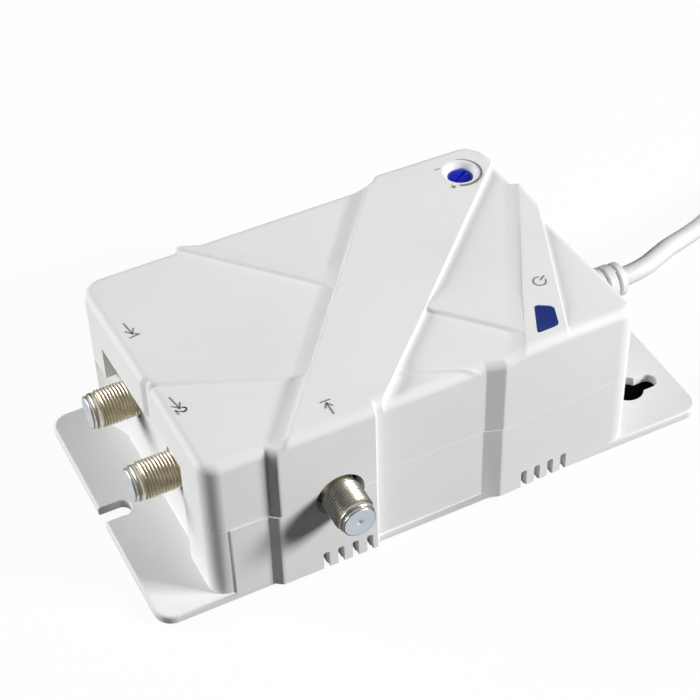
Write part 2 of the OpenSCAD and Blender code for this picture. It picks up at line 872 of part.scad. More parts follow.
module socket_insulator() {
    color("white")
    difference() {
        translate([0, 0, -spigot_length])
            cylinder(r = insulator_radius - 0.03, h = socket_length + spigot_length - 0.6);
        translate([0, 0, -spigot_length - past])
            cylinder(r = contact_radius + 0.03, h = spigot_length + past + 9);
        cylinder(r = 0.65, h = socket_length + past);
    }
}

module socket_contact() {
    color("gold")
    difference() {
        union() {
            translate([0, 0, -spigot_length])
                cylinder(r = contact_radius, h = spigot_length + 9 - fit_gap);
            translate([0, 0, -spigot_length - 5])
                cylinder(r = 0.5, h = 6);
        }
        translate([0, 0, 2])
            cylinder(r = 0.55, h = 9);
    }
}

module input_connector_shell() {
    at_input() socket_shell();
}
module input_connector_insulator() {
    at_input() socket_insulator();
}
module input_connector_contact() {
    at_input() socket_contact();
}
module output_1_shell() {
    at_output(output_1_y) socket_shell();
}
module output_1_insulator() {
    at_output(output_1_y) socket_insulator();
}
module output_1_contact() {
    at_output(output_1_y) socket_contact();
}
module output_2_shell() {
    at_output(output_2_y) socket_shell();
}
module output_2_insulator() {
    at_output(output_2_y) socket_insulator();
}
module output_2_contact() {
    at_output(output_2_y) socket_contact();
}

// Blue dial on its long spindle, with a screwdriver slot
module gain_knob() {
    foot = board_top + 1;
    thickness = 1.7;
    color("blue")
    translate([dial_x, dial_y, 0])
        difference() {
            union() {
                translate([0, 0, foot])
                    cylinder(r = spindle_radius, h = dial_top - foot - thickness / 2);
                translate([0, 0, dial_top - thickness])
                    cylinder(r = dial_radius, h = thickness);
            }
            block([-dial_radius * 0.75, -0.45, dial_top - 0.7],
                [dial_radius * 0.75, 0.45, dial_top + past]);
        }
}

module gain_potentiometer() {
    half = pot_half;
    color("royalblue")
    translate([dial_x, dial_y, board_top])
        difference() {
            block([-half, -half, 0], [half, half, 5]);
            translate([0, 0, 1 - air])
                cylinder(r = spindle_radius + running_gap, h = 10);
        }
}

module splitter_core() {
    color("dimgray")
    translate([(shield_x0 + shield_x1) / 2 - 2, output_2_y + output_pitch / 2, board_top])
        difference() {
            cylinder(r = 5, h = 4);
            translate([0, 0, -past])
                cylinder(r = 2.4, h = 4 + 2 * past);
        }
}

module amplifier_transistors() {
    color("black")
    for (i = [0, 1])
        translate([input_x - 2.3 + i * 9, output_2_y - 8, board_top])
            cube([4.6, 2.6, 1.5]);
}

module chip_capacitors() {
    color("tan")
    for (i = [0:3], j = [0, 1])
        translate([shield_x0 + 14 + i * 6, output_1_y - 5 + j * 5, board_top])
            cube([2, 1.25, 0.9]);
}

module transformer_core() {
    half = core_width / 2;
    z1 = board_top + core_height;
    color("slategray")
    difference() {
        block([core_x - half, core_y - core_depth / 2, board_top],
            [core_x + half, core_y + core_depth / 2, z1]);
        for (side = [-1, 1])
            translate([core_x + side * limb * 1.5, core_y, 0])
                block([-limb / 2, -core_depth, board_top + limb],
                    [limb / 2, core_depth, z1 - limb]);
    }
}
// The windows are one limb wide, so the middle limb is two limbs wide
coil_x0 = core_x - 2 * limb + air;
coil_x1 = core_x + 2 * limb - air;
leg = limb + air;

module transformer_bobbin() {
    cheek = 1;
    color("ivory")
    difference() {
        union() {
            block([coil_x0, core_y - coil_half_y, coil_z0], [coil_x1, core_y + coil_half_y, coil_z0 + cheek]);
            block([coil_x0, core_y - coil_half_y, coil_z1 - cheek], [coil_x1, core_y + coil_half_y, coil_z1]);
            block([core_x - leg - cheek, core_y - core_depth / 2 - air - cheek, coil_z0],
                [core_x + leg + cheek, core_y + core_depth / 2 + air + cheek, coil_z1]);
        }
        block([core_x - leg, core_y - core_depth / 2 - air, coil_z0 - past],
            [core_x + leg, core_y + core_depth / 2 + air, coil_z1 + past]);
    }
}

module transformer_winding() {
    inner = leg + 1 + 0.05;
    inner_y = core_depth / 2 + air + 1 + 0.05;
    color("darkgoldenrod")
    difference() {
        block([coil_x0 + 0.6, core_y - coil_half_y + 0.6, coil_z0 + 1.05],
            [coil_x1 - 0.6, core_y + coil_half_y - 0.6, coil_z1 - 1.05]);
        block([core_x - inner, core_y - inner_y, coil_z0], [core_x + inner, core_y + inner_y, coil_z1]);
    }
}

module fuse() {
    color("lightgray")
    translate([fuse_x - fuse_length / 2, fuse_y, fuse_z])
        rotate([0, 90, 0]) {
            cylinder(r = 2.5, h = fuse_length);
            cylinder(r = 2.6, h = 5);
            translate([0, 0, fuse_length - 5])
                cylinder(r = 2.6, h = 5);
        }
}

module fuse_clips() {
    color("silver")
    for (x = [fuse_x - fuse_length / 2 + 0.5, fuse_x + fuse_length / 2 - 4.5])
        difference() {
            block([x, fuse_y - clip_half, board_top], [x + 4, fuse_y + clip_half, fuse_z + 1.5]);
            translate([x - past, fuse_y, fuse_z])
                rotate([0, 90, 0])
                    cylinder(r = 2.63, h = 4 + 2 * past);
            block([x - past, fuse_y - 2, fuse_z], [x + 4 + past, fuse_y + 2, fuse_z + 5]);
        }
}

module rectifier_diodes() {
    color("black")
    for (i = [0:3])
        translate([shield_x1 + 2.7, diode_y + i * 3.5, board_top + 1.35])
            rotate([0, 90, 0]) {
                cylinder(r = 1.35, h = 5);
                translate([0, 0, -2])
                    cylinder(r = 0.4, h = 9);
            }
}

module smoothing_capacitor() {
    color("midnightblue")
    translate([shield_x1 + 7.5, capacitor_y, board_top]) {
        cylinder(r = capacitor_radius, h = 17);
        translate([0, 0, 17])
            cylinder(r1 = capacitor_radius, r2 = capacitor_radius - 0.6, h = 0.6);
    }
}

module voltage_regulator() {
    color("black")
    translate([sink_x, sink_y, board_top]) {
        block([-5, -4.6, 3], [5, -1.35, 12]);
        block([-5, -1.35, 3], [5, -0.05, 18.5]);
        for (i = [-1:1])
            block([i * 2.54 - 0.4, -2.6, 0], [i * 2.54 + 0.4, -2.2, 3.2]);
    }
}

module heat_sink() {
    color("darkslategray")
    translate([sink_x, sink_y, board_top]) {
        block([-7, 0, 0], [7, 1.5, 22]);
        for (i = [-3:3])
            block([i * 2.2 - 0.4, 1.4, 0], [i * 2.2 + 0.4, sink_depth, 22]);
    }
}

module terminal_block() {
    color("limegreen")
    difference() {
        block([block_x0, cord_y - 6, board_top], [block_x1, cord_y + 3.6, board_top + 8]);
        for (y = wire_ends)
            translate([block_x1 - 2.5, y, board_top + 3.5])
                rotate([0, 90, 0])
                    cylinder(r = 1.3, h = 5);
        for (y = wire_ends)
            translate([block_x1 - 4, y, board_top + 5.5])
                cylinder(r = 1.5, h = 5);
    }
}
wire_ends = [cord_y - 3.6, cord_y + 1.2];

module mains_wires() {
    color("saddlebrown")
    for (i = [0, 1])
        tube([
            [relief_inner_x - air, cord_y - 1.1 + i * 2.2, cord_z],
            [relief_inner_x - 1.5, cord_y - 1.3 + i * 2.4, cord_z - 0.4],
            [relief_inner_x - 3.2, (wire_ends[i] + cord_y - 1.1 + i * 2.2) / 2, (cord_z + board_top + 3.5) / 2],
            [block_x1 + 0.3, wire_ends[i], board_top + 3.6],
            [block_x1 - 2.2, wire_ends[i], board_top + 3.5]
        ], 0.8, 8);
}
relief_neck = 4.2;
relief_flange = 5.6;
collar_radius = 4.4;

// Ribbed bush that grips the lead in the case wall
module strain_relief() {
    ribs = 4;
    first = case_x1 + 4.2;
    step = (relief_outer_x - 2 - first) / ribs;
    color("white")
    difference() {
        translate([0, cord_y, cord_z])
            rotate([0, 90, 0]) {
                translate([0, 0, relief_inner_x])
                    cylinder(r = 3.4, h = relief_outer_x - relief_inner_x);
                translate([0, 0, room_x1 - 1.6 - fit_gap])
                    cylinder(r = 5.4, h = 1.6);
                translate([0, 0, room_x1 - 0.5])
                    cylinder(r = relief_neck, h = wall + 1);
                translate([0, 0, case_x1 + fit_gap])
                    cylinder(r = relief_flange, h = 2);
                for (i = [0:ribs - 1])
                    translate([0, 0, first + i * step])
                        cylinder(r = 4.9 - 0.12 * i, h = step * 0.55);
                translate([0, 0, relief_outer_x - 2])
                    cylinder(r = collar_radius, h = 2);
            }
        translate([relief_inner_x - past, cord_y, cord_z])
            rotate([0, 90, 0])
                cylinder(r = cord_radius - 0.9, h = room_x1 - relief_inner_x);
    }
}

module power_cord() {
    color("white")
    tube(cord_path, cord_radius, 10);
}

module power_cord_coil() {
    color("white")
    tube(coil_path, cord_radius, 6);
}

module power_cord_tail() {
    color("white")
    tube(tail_path, cord_radius, 10);
}

// Band that holds the coil's turns together, on the side away from the case
module coil_tie() {
    r0 = coil_inner - cord_radius - air;
    r1 = coil_outer + cord_radius + air;
    top = coil_z + coil_pitch + cord_radius + air;
    color("white")
    translate([coil_x, coil_y, 0])
        rotate([0, 0, -30])
            difference() {
                block([r0 - tie_thickness, -2.5, 0], [r1 + tie_thickness, 2.5, top + tie_thickness]);
                block([r0, -2.5 - past, tie_thickness], [r1, 2.5 + past, top]);
            }
}

// Two-pin mains plug that lies beside the coil
module plug_body() {
    color("white")
    translate([0, plug_y, plug_z])
        rotate([0, -90, 0])
            translate([0, 0, -plug_back_x]) {
                difference() {
                    union() {
                        cylinder(r = 5, h = 10);
                        translate([0, 0, 8])
                            cylinder(r1 = 5, r2 = 6.8, h = 6);
                        translate([0, 0, 12])
                            linear_extrude(height = plug_length - 12)
                                rounded_rect(-6.9, -13, 6.9, 13, 4);
                    }
                    for (side = [-1, 1])
                        translate([0, side * pin_pitch / 2, plug_length - 8])
                            cylinder(r = pin_radius + 0.02, h = 10);
                }
            }
}

module plug_pins() {
    color("silver")
    for (side = [-1, 1])
        translate([plug_back_x - plug_length + 7.9, plug_y + side * pin_pitch / 2, plug_z])
            rotate([0, -90, 0]) {
                cylinder(r = pin_radius, h = 7.9 + pin_length - 1);
                translate([0, 0, 7.9 + pin_length - 1])
                    cylinder(r1 = pin_radius, r2 = pin_radius * 0.6, h = 1);
            }
}

lower_case();
upper_case();
case_screws();
gain_knob();
power_lens();
circuit_board();
board_screws();
shield_frame();
shield_lid();
input_connector_shell();
input_connector_insulator();
input_connector_contact();
output_1_shell();
output_1_insulator();
output_1_contact();
output_2_shell();
output_2_insulator();
output_2_contact();
gain_potentiometer();
splitter_core();
amplifier_transistors();
chip_capacitors();
power_led();
transformer_core();
transformer_bobbin();
transformer_winding();
fuse();
fuse_clips();
rectifier_diodes();
smoothing_capacitor();
voltage_regulator();
heat_sink();
terminal_block();
mains_wires();
strain_relief();
power_cord();
power_cord_coil();
power_cord_tail();
coil_tie();
plug_body();
plug_pins();
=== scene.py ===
"""Looks of a TV signal amplifier: two white shells, threaded sockets, gain dial, light and lead.

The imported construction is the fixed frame. Pieces are modelled in millimetres on a bench,
brought to metres, and laid over the solids that they stand for.
"""

import logging
import math
from dataclasses import dataclass, field
from enum import Enum
from typing import Callable, Iterable, Sequence, Union

import bmesh
import bpy
from mathutils import Euler, Matrix, Vector


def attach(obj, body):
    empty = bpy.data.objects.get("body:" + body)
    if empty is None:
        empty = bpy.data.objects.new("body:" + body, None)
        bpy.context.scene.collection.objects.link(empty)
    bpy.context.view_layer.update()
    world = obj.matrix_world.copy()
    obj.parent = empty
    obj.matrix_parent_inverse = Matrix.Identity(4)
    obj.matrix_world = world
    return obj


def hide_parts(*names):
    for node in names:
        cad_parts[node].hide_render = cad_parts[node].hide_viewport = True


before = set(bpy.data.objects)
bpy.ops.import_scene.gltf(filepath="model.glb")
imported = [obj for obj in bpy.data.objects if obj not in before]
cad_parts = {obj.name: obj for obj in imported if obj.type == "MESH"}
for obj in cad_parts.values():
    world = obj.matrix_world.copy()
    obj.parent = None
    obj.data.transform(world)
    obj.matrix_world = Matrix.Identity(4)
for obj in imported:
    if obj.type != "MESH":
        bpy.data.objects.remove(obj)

LOG = logging.getLogger("amplifier")
MM = 0.001
BODY = "amplifier"
DIAL_BODY = "gain_dial"
Point = tuple[float, float, float]
Plan = tuple[float, float]
Colour = tuple[float, float, float]
Solid = bpy.types.Object
Link = bpy.types.NodeSocket
Number = Union["Wire", float]
EdgeTest = Callable[[bmesh.types.BMEdge], bool]
FaceTest = Callable[[Vector, Vector], bool]

# Places that several pieces share, in millimetres
INPUT_X = -27.7
OUTPUT_Y = (13.0, -13.0)
INPUT_ROOT = -31.5
OUTPUT_ROOT = -52.8
CORD_Y = -5.5
SOCKET_Z = 23.5
DIAL_PLACE = (38.2, 26.0)
WINDOW = ((25.1, -33.4), (30.7, -33.3), (33.0, -27.4), (29.4, -24.9))


class Axis(Enum):
    """An axis of the shared frame."""

    X = 0
    Y = 1
    Z = 2

    def turn(self) -> Matrix:
        """Turn that lays a form's own Z axis along this one.

        Returns:
            The turn.
        """
        if self is Axis.X:
            return Matrix.Rotation(math.pi / 2, 4, "Y")
        return Matrix.Rotation(-math.pi / 2, 4, "X") if self is Axis.Y else Matrix.Identity(4)


class Bench:
    """Modelling steps, in millimetres, as a hand at the bench would take them."""

    @staticmethod
    def clear() -> None:
        """Leaves edit mode and deselects everything."""
        if bpy.context.object is not None and bpy.context.object.mode != "OBJECT":
            bpy.ops.object.mode_set(mode="OBJECT")
        bpy.ops.object.select_all(action="DESELECT")

    @staticmethod
    def pick(obj: Solid) -> Solid:
        """Selects one object alone and makes it active.

        Args:
            obj: the object to work on.

        Returns:
            The same object.
        """
        Bench.clear()
        obj.select_set(True)
        bpy.context.view_layer.objects.active = obj
        return obj

    @staticmethod
    def edit(obj: Solid, kind: str = "FACE") -> bmesh.types.BMesh:
        """Opens an object in edit mode with nothing selected.

        Args:
            obj: the object to open.
            kind: VERT, EDGE or FACE.

        Returns:
            The open mesh.
        """
        Bench.pick(obj)
        bpy.ops.object.mode_set(mode="EDIT")
        bpy.ops.mesh.select_mode(type=kind)
        bpy.ops.mesh.select_all(action="DESELECT")
        return bmesh.from_edit_mesh(obj.data)

    @staticmethod
    def done(obj: Solid) -> Solid:
        """Returns to object mode with outward faces.

        Args:
            obj: the object that is open.

        Returns:
            The same object.
        """
        bpy.ops.mesh.select_all(action="SELECT")
        bpy.ops.mesh.normals_make_consistent(inside=False)
        bpy.ops.mesh.select_all(action="DESELECT")
        bpy.ops.object.mode_set(mode="OBJECT")
        return obj

    @staticmethod
    def block(name: str, low: Point, high: Point) -> Solid:
        """Makes a box between two corners.

        Args:
            name: the object's name.
            low: lowest corner.
            high: highest corner.

        Returns:
            The box.
        """
        Bench.clear()
        middle = [(a + b) / 2 for a, b in zip(low, high)]
        bpy.ops.mesh.primitive_cube_add(size=1, location=middle)
        obj = bpy.context.object
        obj.name = name
        obj.scale = [b - a for a, b in zip(low, high)]
        bpy.ops.object.transform_apply(location=True, rotation=True, scale=True)
        return obj

    @staticmethod
    def prism(name: str, outline: Sequence[Plan], low: float, high: float) -> Solid:
        """Makes an upright prism on a plan outline.

        Args:
            name: the object's name.
            outline: the corners in order.
            low: height of its underside.
            high: height of its top.

        Returns:
            The prism.
        """
        Bench.clear()
        bpy.ops.mesh.primitive_circle_add(
            vertices=len(outline), radius=1, fill_type="NGON", location=(0, 0, 0)
        )
        obj = bpy.context.object
        obj.name = name
        for vertex, corner in zip(obj.data.vertices, outline):
            vertex.co = (corner[0], corner[1], low)
        bpy.ops.object.mode_set(mode="EDIT")
        bpy.ops.mesh.select_all(action="SELECT")
        bpy.ops.mesh.extrude_region_move(TRANSFORM_OT_translate={"value": (0, 0, high - low)})
        return Bench.done(obj)

    @staticmethod
    def turned(name: str, profile: Sequence[Plan], sides: int = 64, closed: bool = False) -> Solid:
        """Makes a turned form about the Z axis, ring by ring.

        Args:
            name: the object's name.
            profile: radius and height of each ring.
            sides: faces round the axis.
            closed: the last ring joins the first, as in a tube.

        Returns:
            The turned form.
        """
        Bench.clear()
        radius, height = profile[0]
        bpy.ops.mesh.primitive_circle_add(
            vertices=sides, radius=radius, fill_type="NOTHING", location=(0, 0, height)
        )
        obj = bpy.context.object
        obj.name = name
        bpy.ops.object.transform_apply(location=True, rotation=True, scale=True)
        bpy.ops.object.mode_set(mode="EDIT")
        bpy.ops.mesh.select_mode(type="EDGE")
        bpy.ops.mesh.select_all(action="SELECT")
        if not closed:
            bpy.ops.mesh.edge_face_add()
            bpy.ops.mesh.select_mode(type="EDGE")
        for next_radius, next_height in profile[1:]:
            bpy.ops.mesh.extrude_edges_move(
                TRANSFORM_OT_translate={"value": (0, 0, next_height - height)}
            )
            ratio = next_radius / radius
            bpy.ops.transform.resize(value=(ratio, ratio, 1), center_override=(0, 0, next_height))
            radius, height = next_radius, next_height
        if closed:
            bpy.ops.mesh.select_all(action="SELECT")
            bpy.ops.mesh.remove_doubles(threshold=0.001)
        else:
            bpy.ops.mesh.edge_face_add()
        return Bench.done(obj)

    @staticmethod
    def bevel(obj: Solid, chosen: EdgeTest, width: float, steps: int = 3) -> None:
        """Rounds the chosen edges.

        Args:
            obj: the object.
            chosen: says whether an edge is rounded.
            width: the radius.
            steps: faces across the round.
        """
        mesh = Bench.edit(obj, "EDGE")
        for edge in mesh.edges:
            edge.select_set(chosen(edge))
        bmesh.update_edit_mesh(obj.data)
        bpy.ops.mesh.bevel(offset=width, segments=steps, affect="EDGES", clamp_overlap=True)
        Bench.done(obj)

    @staticmethod
    def sharp(angle: float = 40) -> EdgeTest:
        """Chooses edges whose faces meet at more than an angle, in degrees."""
        limit = math.radians(angle)
        return lambda edge: len(edge.link_faces) == 2 and edge.calc_face_angle(0) > limit

    @staticmethod
    def along(axis: Axis) -> EdgeTest:
        """Chooses edges that run more than 1 mm along an axis."""
        return lambda e: abs(e.verts[0].co[axis.value] - e.verts[1].co[axis.value]) > 1

    @staticmethod
    def rim(height: float) -> EdgeTest:
        """Chooses the edges round a level face at a height.

        Args:
            height: the face's height.

        Returns:
            The test.
        """
        return lambda e: e.calc_face_angle(0) > 1 and all(
            abs(v.co.z - height) < 0.01 for v in e.verts
        )

    @staticmethod
    def score(obj: Solid, point: Plan, normal: Plan, where: FaceTest) -> None:
        """Scores an edge line along an upright plane, on some of the faces.

        Args:
            obj: the object.
            point: a plan point on the plane.
            normal: the plane's plan direction.
            where: says of a face's centre and normal whether it is scored.
        """
        mesh = Bench.edit(obj)
        for face in mesh.faces:
            face.select_set(where(face.calc_center_median(), face.normal))
        bmesh.update_edit_mesh(obj.data)
        bpy.ops.mesh.bisect(
            plane_co=(point[0], point[1], 0), plane_no=(normal[0], normal[1], 0), threshold=0.0005
        )
        bpy.ops.object.mode_set(mode="OBJECT")

    @staticmethod
    def cut(target: Solid, tool: Solid, operation: str = "DIFFERENCE") -> Solid:
        """Cuts one form with another, or joins them.

        Args:
            target: the form that stays.
            tool: the form that is used up.
            operation: DIFFERENCE, UNION or INTERSECT.

        Returns:
            The target.
        """
        Bench.pick(target)
        step = target.modifiers.new("cut", "BOOLEAN")
        step.object = tool
        step.operation = operation
        step.solver = "EXACT"
        bpy.ops.object.modifier_apply(modifier=step.name)
        bpy.data.objects.remove(tool)
        return target

    @staticmethod
    def bore(
        target: Solid, low: float, high: float, radius: float, axis: Axis, centre: Point
    ) -> None:
        """Drills a round hole.

        Args:
            target: the form.
            low: the hole's start along its axis.
            high: its end along its axis.
            radius: its radius.
            axis: its direction.
            centre: a point that its axis runs through.
        """
        Bench.cut(target, rod("hole", low, high, radius, axis, centre))

    @staticmethod
    def move(obj: Solid, matrix: Matrix) -> Solid:
        """Places a form by moving its mesh.

        Args:
            obj: the form.
            matrix: where it goes, in millimetres.

        Returns:
            The same form.
        """
        obj.data.transform(matrix)
        obj.data.update()
        return obj

    @staticmethod
    def join(parts: Sequence[Solid], name: str) -> Solid:
        """Joins loose forms into one piece.

        Args:
            parts: the forms.
            name: the piece's name.

        Returns:
            The piece.
        """
        Bench.pick(parts[0])
        for part in parts[1:]:
            part.select_set(True)
        bpy.ops.object.join()
        parts[0].name = name
        return parts[0]

    @staticmethod
    def settle(obj: Solid, angle: float = 35) -> Solid:
        """Brings a finished form to metres and smooths what is round.

        Args:
            obj: the form in millimetres.
            angle: faces that meet at less than this many degrees are smooth.

        Returns:
            The same form.
        """
        Bench.edit(obj, "VERT")
        bpy.ops.mesh.select_all(action="SELECT")
        bpy.ops.mesh.remove_doubles(threshold=0.0004)
        bpy.ops.mesh.dissolve_degenerate(threshold=0.0002)
        Bench.done(obj)
        obj.data.transform(Matrix.Diagonal((MM, MM, MM, 1)))
        Bench.pick(obj)
        bpy.ops.object.shade_smooth_by_angle(angle=math.radians(angle))
        return obj


def rod(name: str, low: float, high: float, radius: float, axis: Axis, centre: Point) -> Solid:
    """Makes a plain cylinder.

    Args:
        name: the object's name.
        low: its start along the axis.
        high: its end along the axis.
        radius: its radius.
        axis: its direction.
        centre: a point that its axis runs through.

    Returns:
        The cylinder.
    """
    obj = Bench.turned(name, [(radius, low), (radius, high)])
    place = Vector(centre)
    place[axis.value] = 0
    return Bench.move(obj, Matrix.Translation(place) @ axis.turn())


class Wire:
    """A number that runs through a shader. Sums and products of wires add their Math nodes."""

    def __init__(self, tree: bpy.types.NodeTree, socket: Link) -> None:
        """Wraps an output socket of a tree."""
        self.tree = tree
        self.socket = socket

    def math(self, operation: str, *others: Number, swap: bool = False) -> "Wire":
        """Adds one Math node.

        Args:
            operation: the node's operation.
            others: further inputs, wires or numbers.
            swap: put this wire second.

        Returns:
            The result.
        """
        node = self.tree.nodes.new("ShaderNodeMath")
        node.operation = operation
        inputs: list[Number] = [self, *others]
        if swap:
            inputs[0], inputs[1] = inputs[1], inputs[0]
        for socket, value in zip(node.inputs, inputs):
            if isinstance(value, Wire):
                self.tree.links.new(value.socket, socket)
            else:
                socket.default_value = value
        return Wire(self.tree, node.outputs[0])

    def __add__(self, other: Number) -> "Wire":
        """Adds."""
        return self.math("ADD", other)

    __radd__ = __add__

    def __sub__(self, other: Number) -> "Wire":
        """Subtracts."""
        return self.math("SUBTRACT", other)

    def __rsub__(self, other: float) -> "Wire":
        """Subtracts this from a number."""
        return self.math("SUBTRACT", other, swap=True)

    def __mul__(self, other: Number) -> "Wire":
        """Multiplies."""
        return self.math("MULTIPLY", other)

    __rmul__ = __mul__

    def sine(self) -> "Wire":
        """Sine, in radians."""
        return self.math("SINE")

    def most(self, other: Number) -> "Wire":
        """The larger of two."""
        return self.math("MAXIMUM", other)

    def least(self, other: Number) -> "Wire":
        """The smaller of two."""
        return self.math("MINIMUM", other)

    def root(self) -> "Wire":
        """Square root."""
        return self.math("SQRT")

    def step(self, low: float, high: float) -> "Wire":
        """Runs smoothly from 0 at one value to 1 at another.

        Args:
            low: value that gives 0.
            high: value that gives 1.

        Returns:
            The result.
        """
        node = self.tree.nodes.new("ShaderNodeMapRange")
        node.interpolation_type = "SMOOTHSTEP"
        node.inputs["From Min"].default_value = low
        node.inputs["From Max"].default_value = high
        self.tree.links.new(self.socket, node.inputs["Value"])
        return Wire(self.tree, node.outputs["Result"])


class Recipe:
    """One material under construction."""

    def __init__(self, name: str) -> None:
        """Starts a material with a plain surface shader.

        Args:
            name: the material's name.
        """
        self.material = bpy.data.materials.new(name)
        self.material.use_nodes = True
        self.tree = self.material.node_tree
        self.tree.nodes.clear()
        self.surface = self.tree.nodes.new("ShaderNodeBsdfPrincipled")
        self.output = self.tree.nodes.new("ShaderNodeOutputMaterial")
        self.tree.links.new(self.surface.outputs[0], self.output.inputs["Surface"])
        self.coordinates = self.tree.nodes.new("ShaderNodeTexCoord").outputs["Object"]

    def node(
        self,
        kind: str,
        settings: dict[str, object] | None = None,
        inputs: dict[str, object] | None = None,
    ) -> bpy.types.Node:
        """Adds any node.

        Args:
            kind: the node's type.
            settings: its properties, set first.
            inputs: values or links of its sockets, by name.

        Returns:
            The node.
        """
        made = self.tree.nodes.new(kind)
        for key, value in (settings or {}).items():
            setattr(made, key, value)
        for key, value in (inputs or {}).items():
            self.plug(made.inputs[key], value)
        return made

    def plug(self, socket: Link, value: object) -> None:
        """Links a wire or an output to an input, or sets the input's own value.

        Args:
            socket: the input.
            value: a wire, an output, a number or a colour.
        """
        value = value.socket if isinstance(value, Wire) else value
        if isinstance(value, Link):
            self.tree.links.new(value, socket)
        else:
            socket.default_value = value

    def set(self, **values: object) -> None:
        """Sets or links the surface shader's sockets; underscores stand for spaces."""
        for key, value in values.items():
            self.plug(self.surface.inputs[key.replace("_", " ")], value)

    def axes(self, centre: Point = (0, 0, 0)) -> tuple[Wire, Wire, Wire]:
        """Place on the object along each axis.

        Args:
            centre: zero of the three values, in metres.

        Returns:
            X, Y and Z in metres.
        """
        split = self.node("ShaderNodeSeparateXYZ", inputs={"Vector": self.coordinates})
        wires = [Wire(self.tree, out) for out in split.outputs]
        return tuple(w - c if c else w for w, c in zip(wires, centre))

    def noise(
        self, scale: float, detail: float = 3, roughness: float = 0.55, stretch: Point | None = None
    ) -> Wire:
        """Adds a noise pattern.

        Args:
            scale: repeats a metre.
            detail: layers of finer noise.
            roughness: strength of the finer layers.
            stretch: scale along each axis.

        Returns:
            The noise, about 0 to 1.
        """
        vector = self.coordinates
        if stretch is not None:
            mapping = self.node("ShaderNodeMapping", inputs={"Vector": vector, "Scale": stretch})
            vector = mapping.outputs["Vector"]
        made = self.node(
            "ShaderNodeTexNoise",
            inputs={"Vector": vector, "Scale": scale, "Detail": detail, "Roughness": roughness},
        )
        return Wire(self.tree, made.outputs["Fac"])

    def blend(self, factor: Number, first: Colour | Link, second: Colour | Link) -> Link:
        """Mixes two colours.

        Args:
            factor: 0 gives the first, 1 the second.
            first: a colour or link.
            second: a colour or link.

        Returns:
            The mixed colour.
        """
        first, second = ((*c, 1) if isinstance(c, tuple) else c for c in (first, second))
        mix = self.node("ShaderNodeMix", {"data_type": "RGBA"}, {0: factor, 6: first, 7: second})
        return mix.outputs[2]

    def relief(self, height: Wire, depth: float, strength: float = 1) -> None:
        """Adds a bump.

        Args:
            height: the pattern.
            depth: its height in metres.
            strength: how much of it shows.
        """
        bump = self.node(
            "ShaderNodeBump", inputs={"Height": height, "Distance": depth, "Strength": strength}
        )
        self.set(Normal=bump.outputs["Normal"])


@dataclass(frozen=True)
class Stuff:
    """What a piece is made of. Each kind writes its own recipe."""

    name: str
    colour: Colour

    def make(self) -> bpy.types.Material:
        """Builds the material.

        Returns:
            The material.
        """
        recipe = Recipe(self.name)
        self.write(recipe)
        return recipe.material

    def write(self, recipe: Recipe) -> None:
        """Sets the recipe's surface up; a plain colour where a kind has no more to say."""
        recipe.set(Base_Color=(*self.colour, 1))

    def shade(self, factor: float) -> Colour:
        """The finish's colour, darkened or lightened by a factor."""
        return tuple(min(1.0, c * factor) for c in self.colour)


@dataclass(frozen=True)
class MouldedPlastic(Stuff):
    """Injection-moulded plastic with a fine spark texture."""

    roughness: float = 0.45
    grain: float = 2600
    grain_depth: float = 0.00002
    mottle: float = 0.02
    gloss: float = 0.5

    def write(self, recipe: Recipe) -> None:
        """Sets the recipe's surface up.

        Args:
            recipe: the material under construction.
        """
        grain = recipe.noise(self.grain, 2, 0.6)
        cloud = recipe.noise(28, 3, 0.5)
        scuff = recipe.noise(420, 4, 0.65)
        recipe.set(
            Base_Color=recipe.blend(
                cloud.step(0.35, 0.7), self.colour, self.shade(1 - self.mottle * 2)
            ),
            Roughness=self.roughness + 0.1 * (scuff - 0.5) + 0.06 * (cloud - 0.5),
            IOR=1.49,
            Specular_IOR_Level=self.gloss,
        )
        recipe.relief(grain, self.grain_depth, 0.35)


@dataclass(frozen=True)
class TintedLens(Stuff):
    """Dark tinted clear plastic, polished on its face and cloudy within."""

    glow: Colour

    def write(self, recipe: Recipe) -> None:
        """Sets the recipe's surface up.

        Args:
            recipe: the material under construction.
        """
        cloud = recipe.noise(330, 4, 0.7)
        fleck = recipe.noise(900, 2, 0.5)
        speckle = (cloud + 0.4 * (fleck - 0.5)).step(0.55, 0.95)
        recipe.set(
            Base_Color=recipe.blend(speckle, self.colour, self.glow),
            Roughness=0.22 + 0.1 * cloud,
            IOR=1.49,
            Specular_IOR_Level=0.2,
            Coat_Weight=0.03,
            Coat_Roughness=0.08,
        )
        recipe.relief(cloud, 0.00004, 0.4)


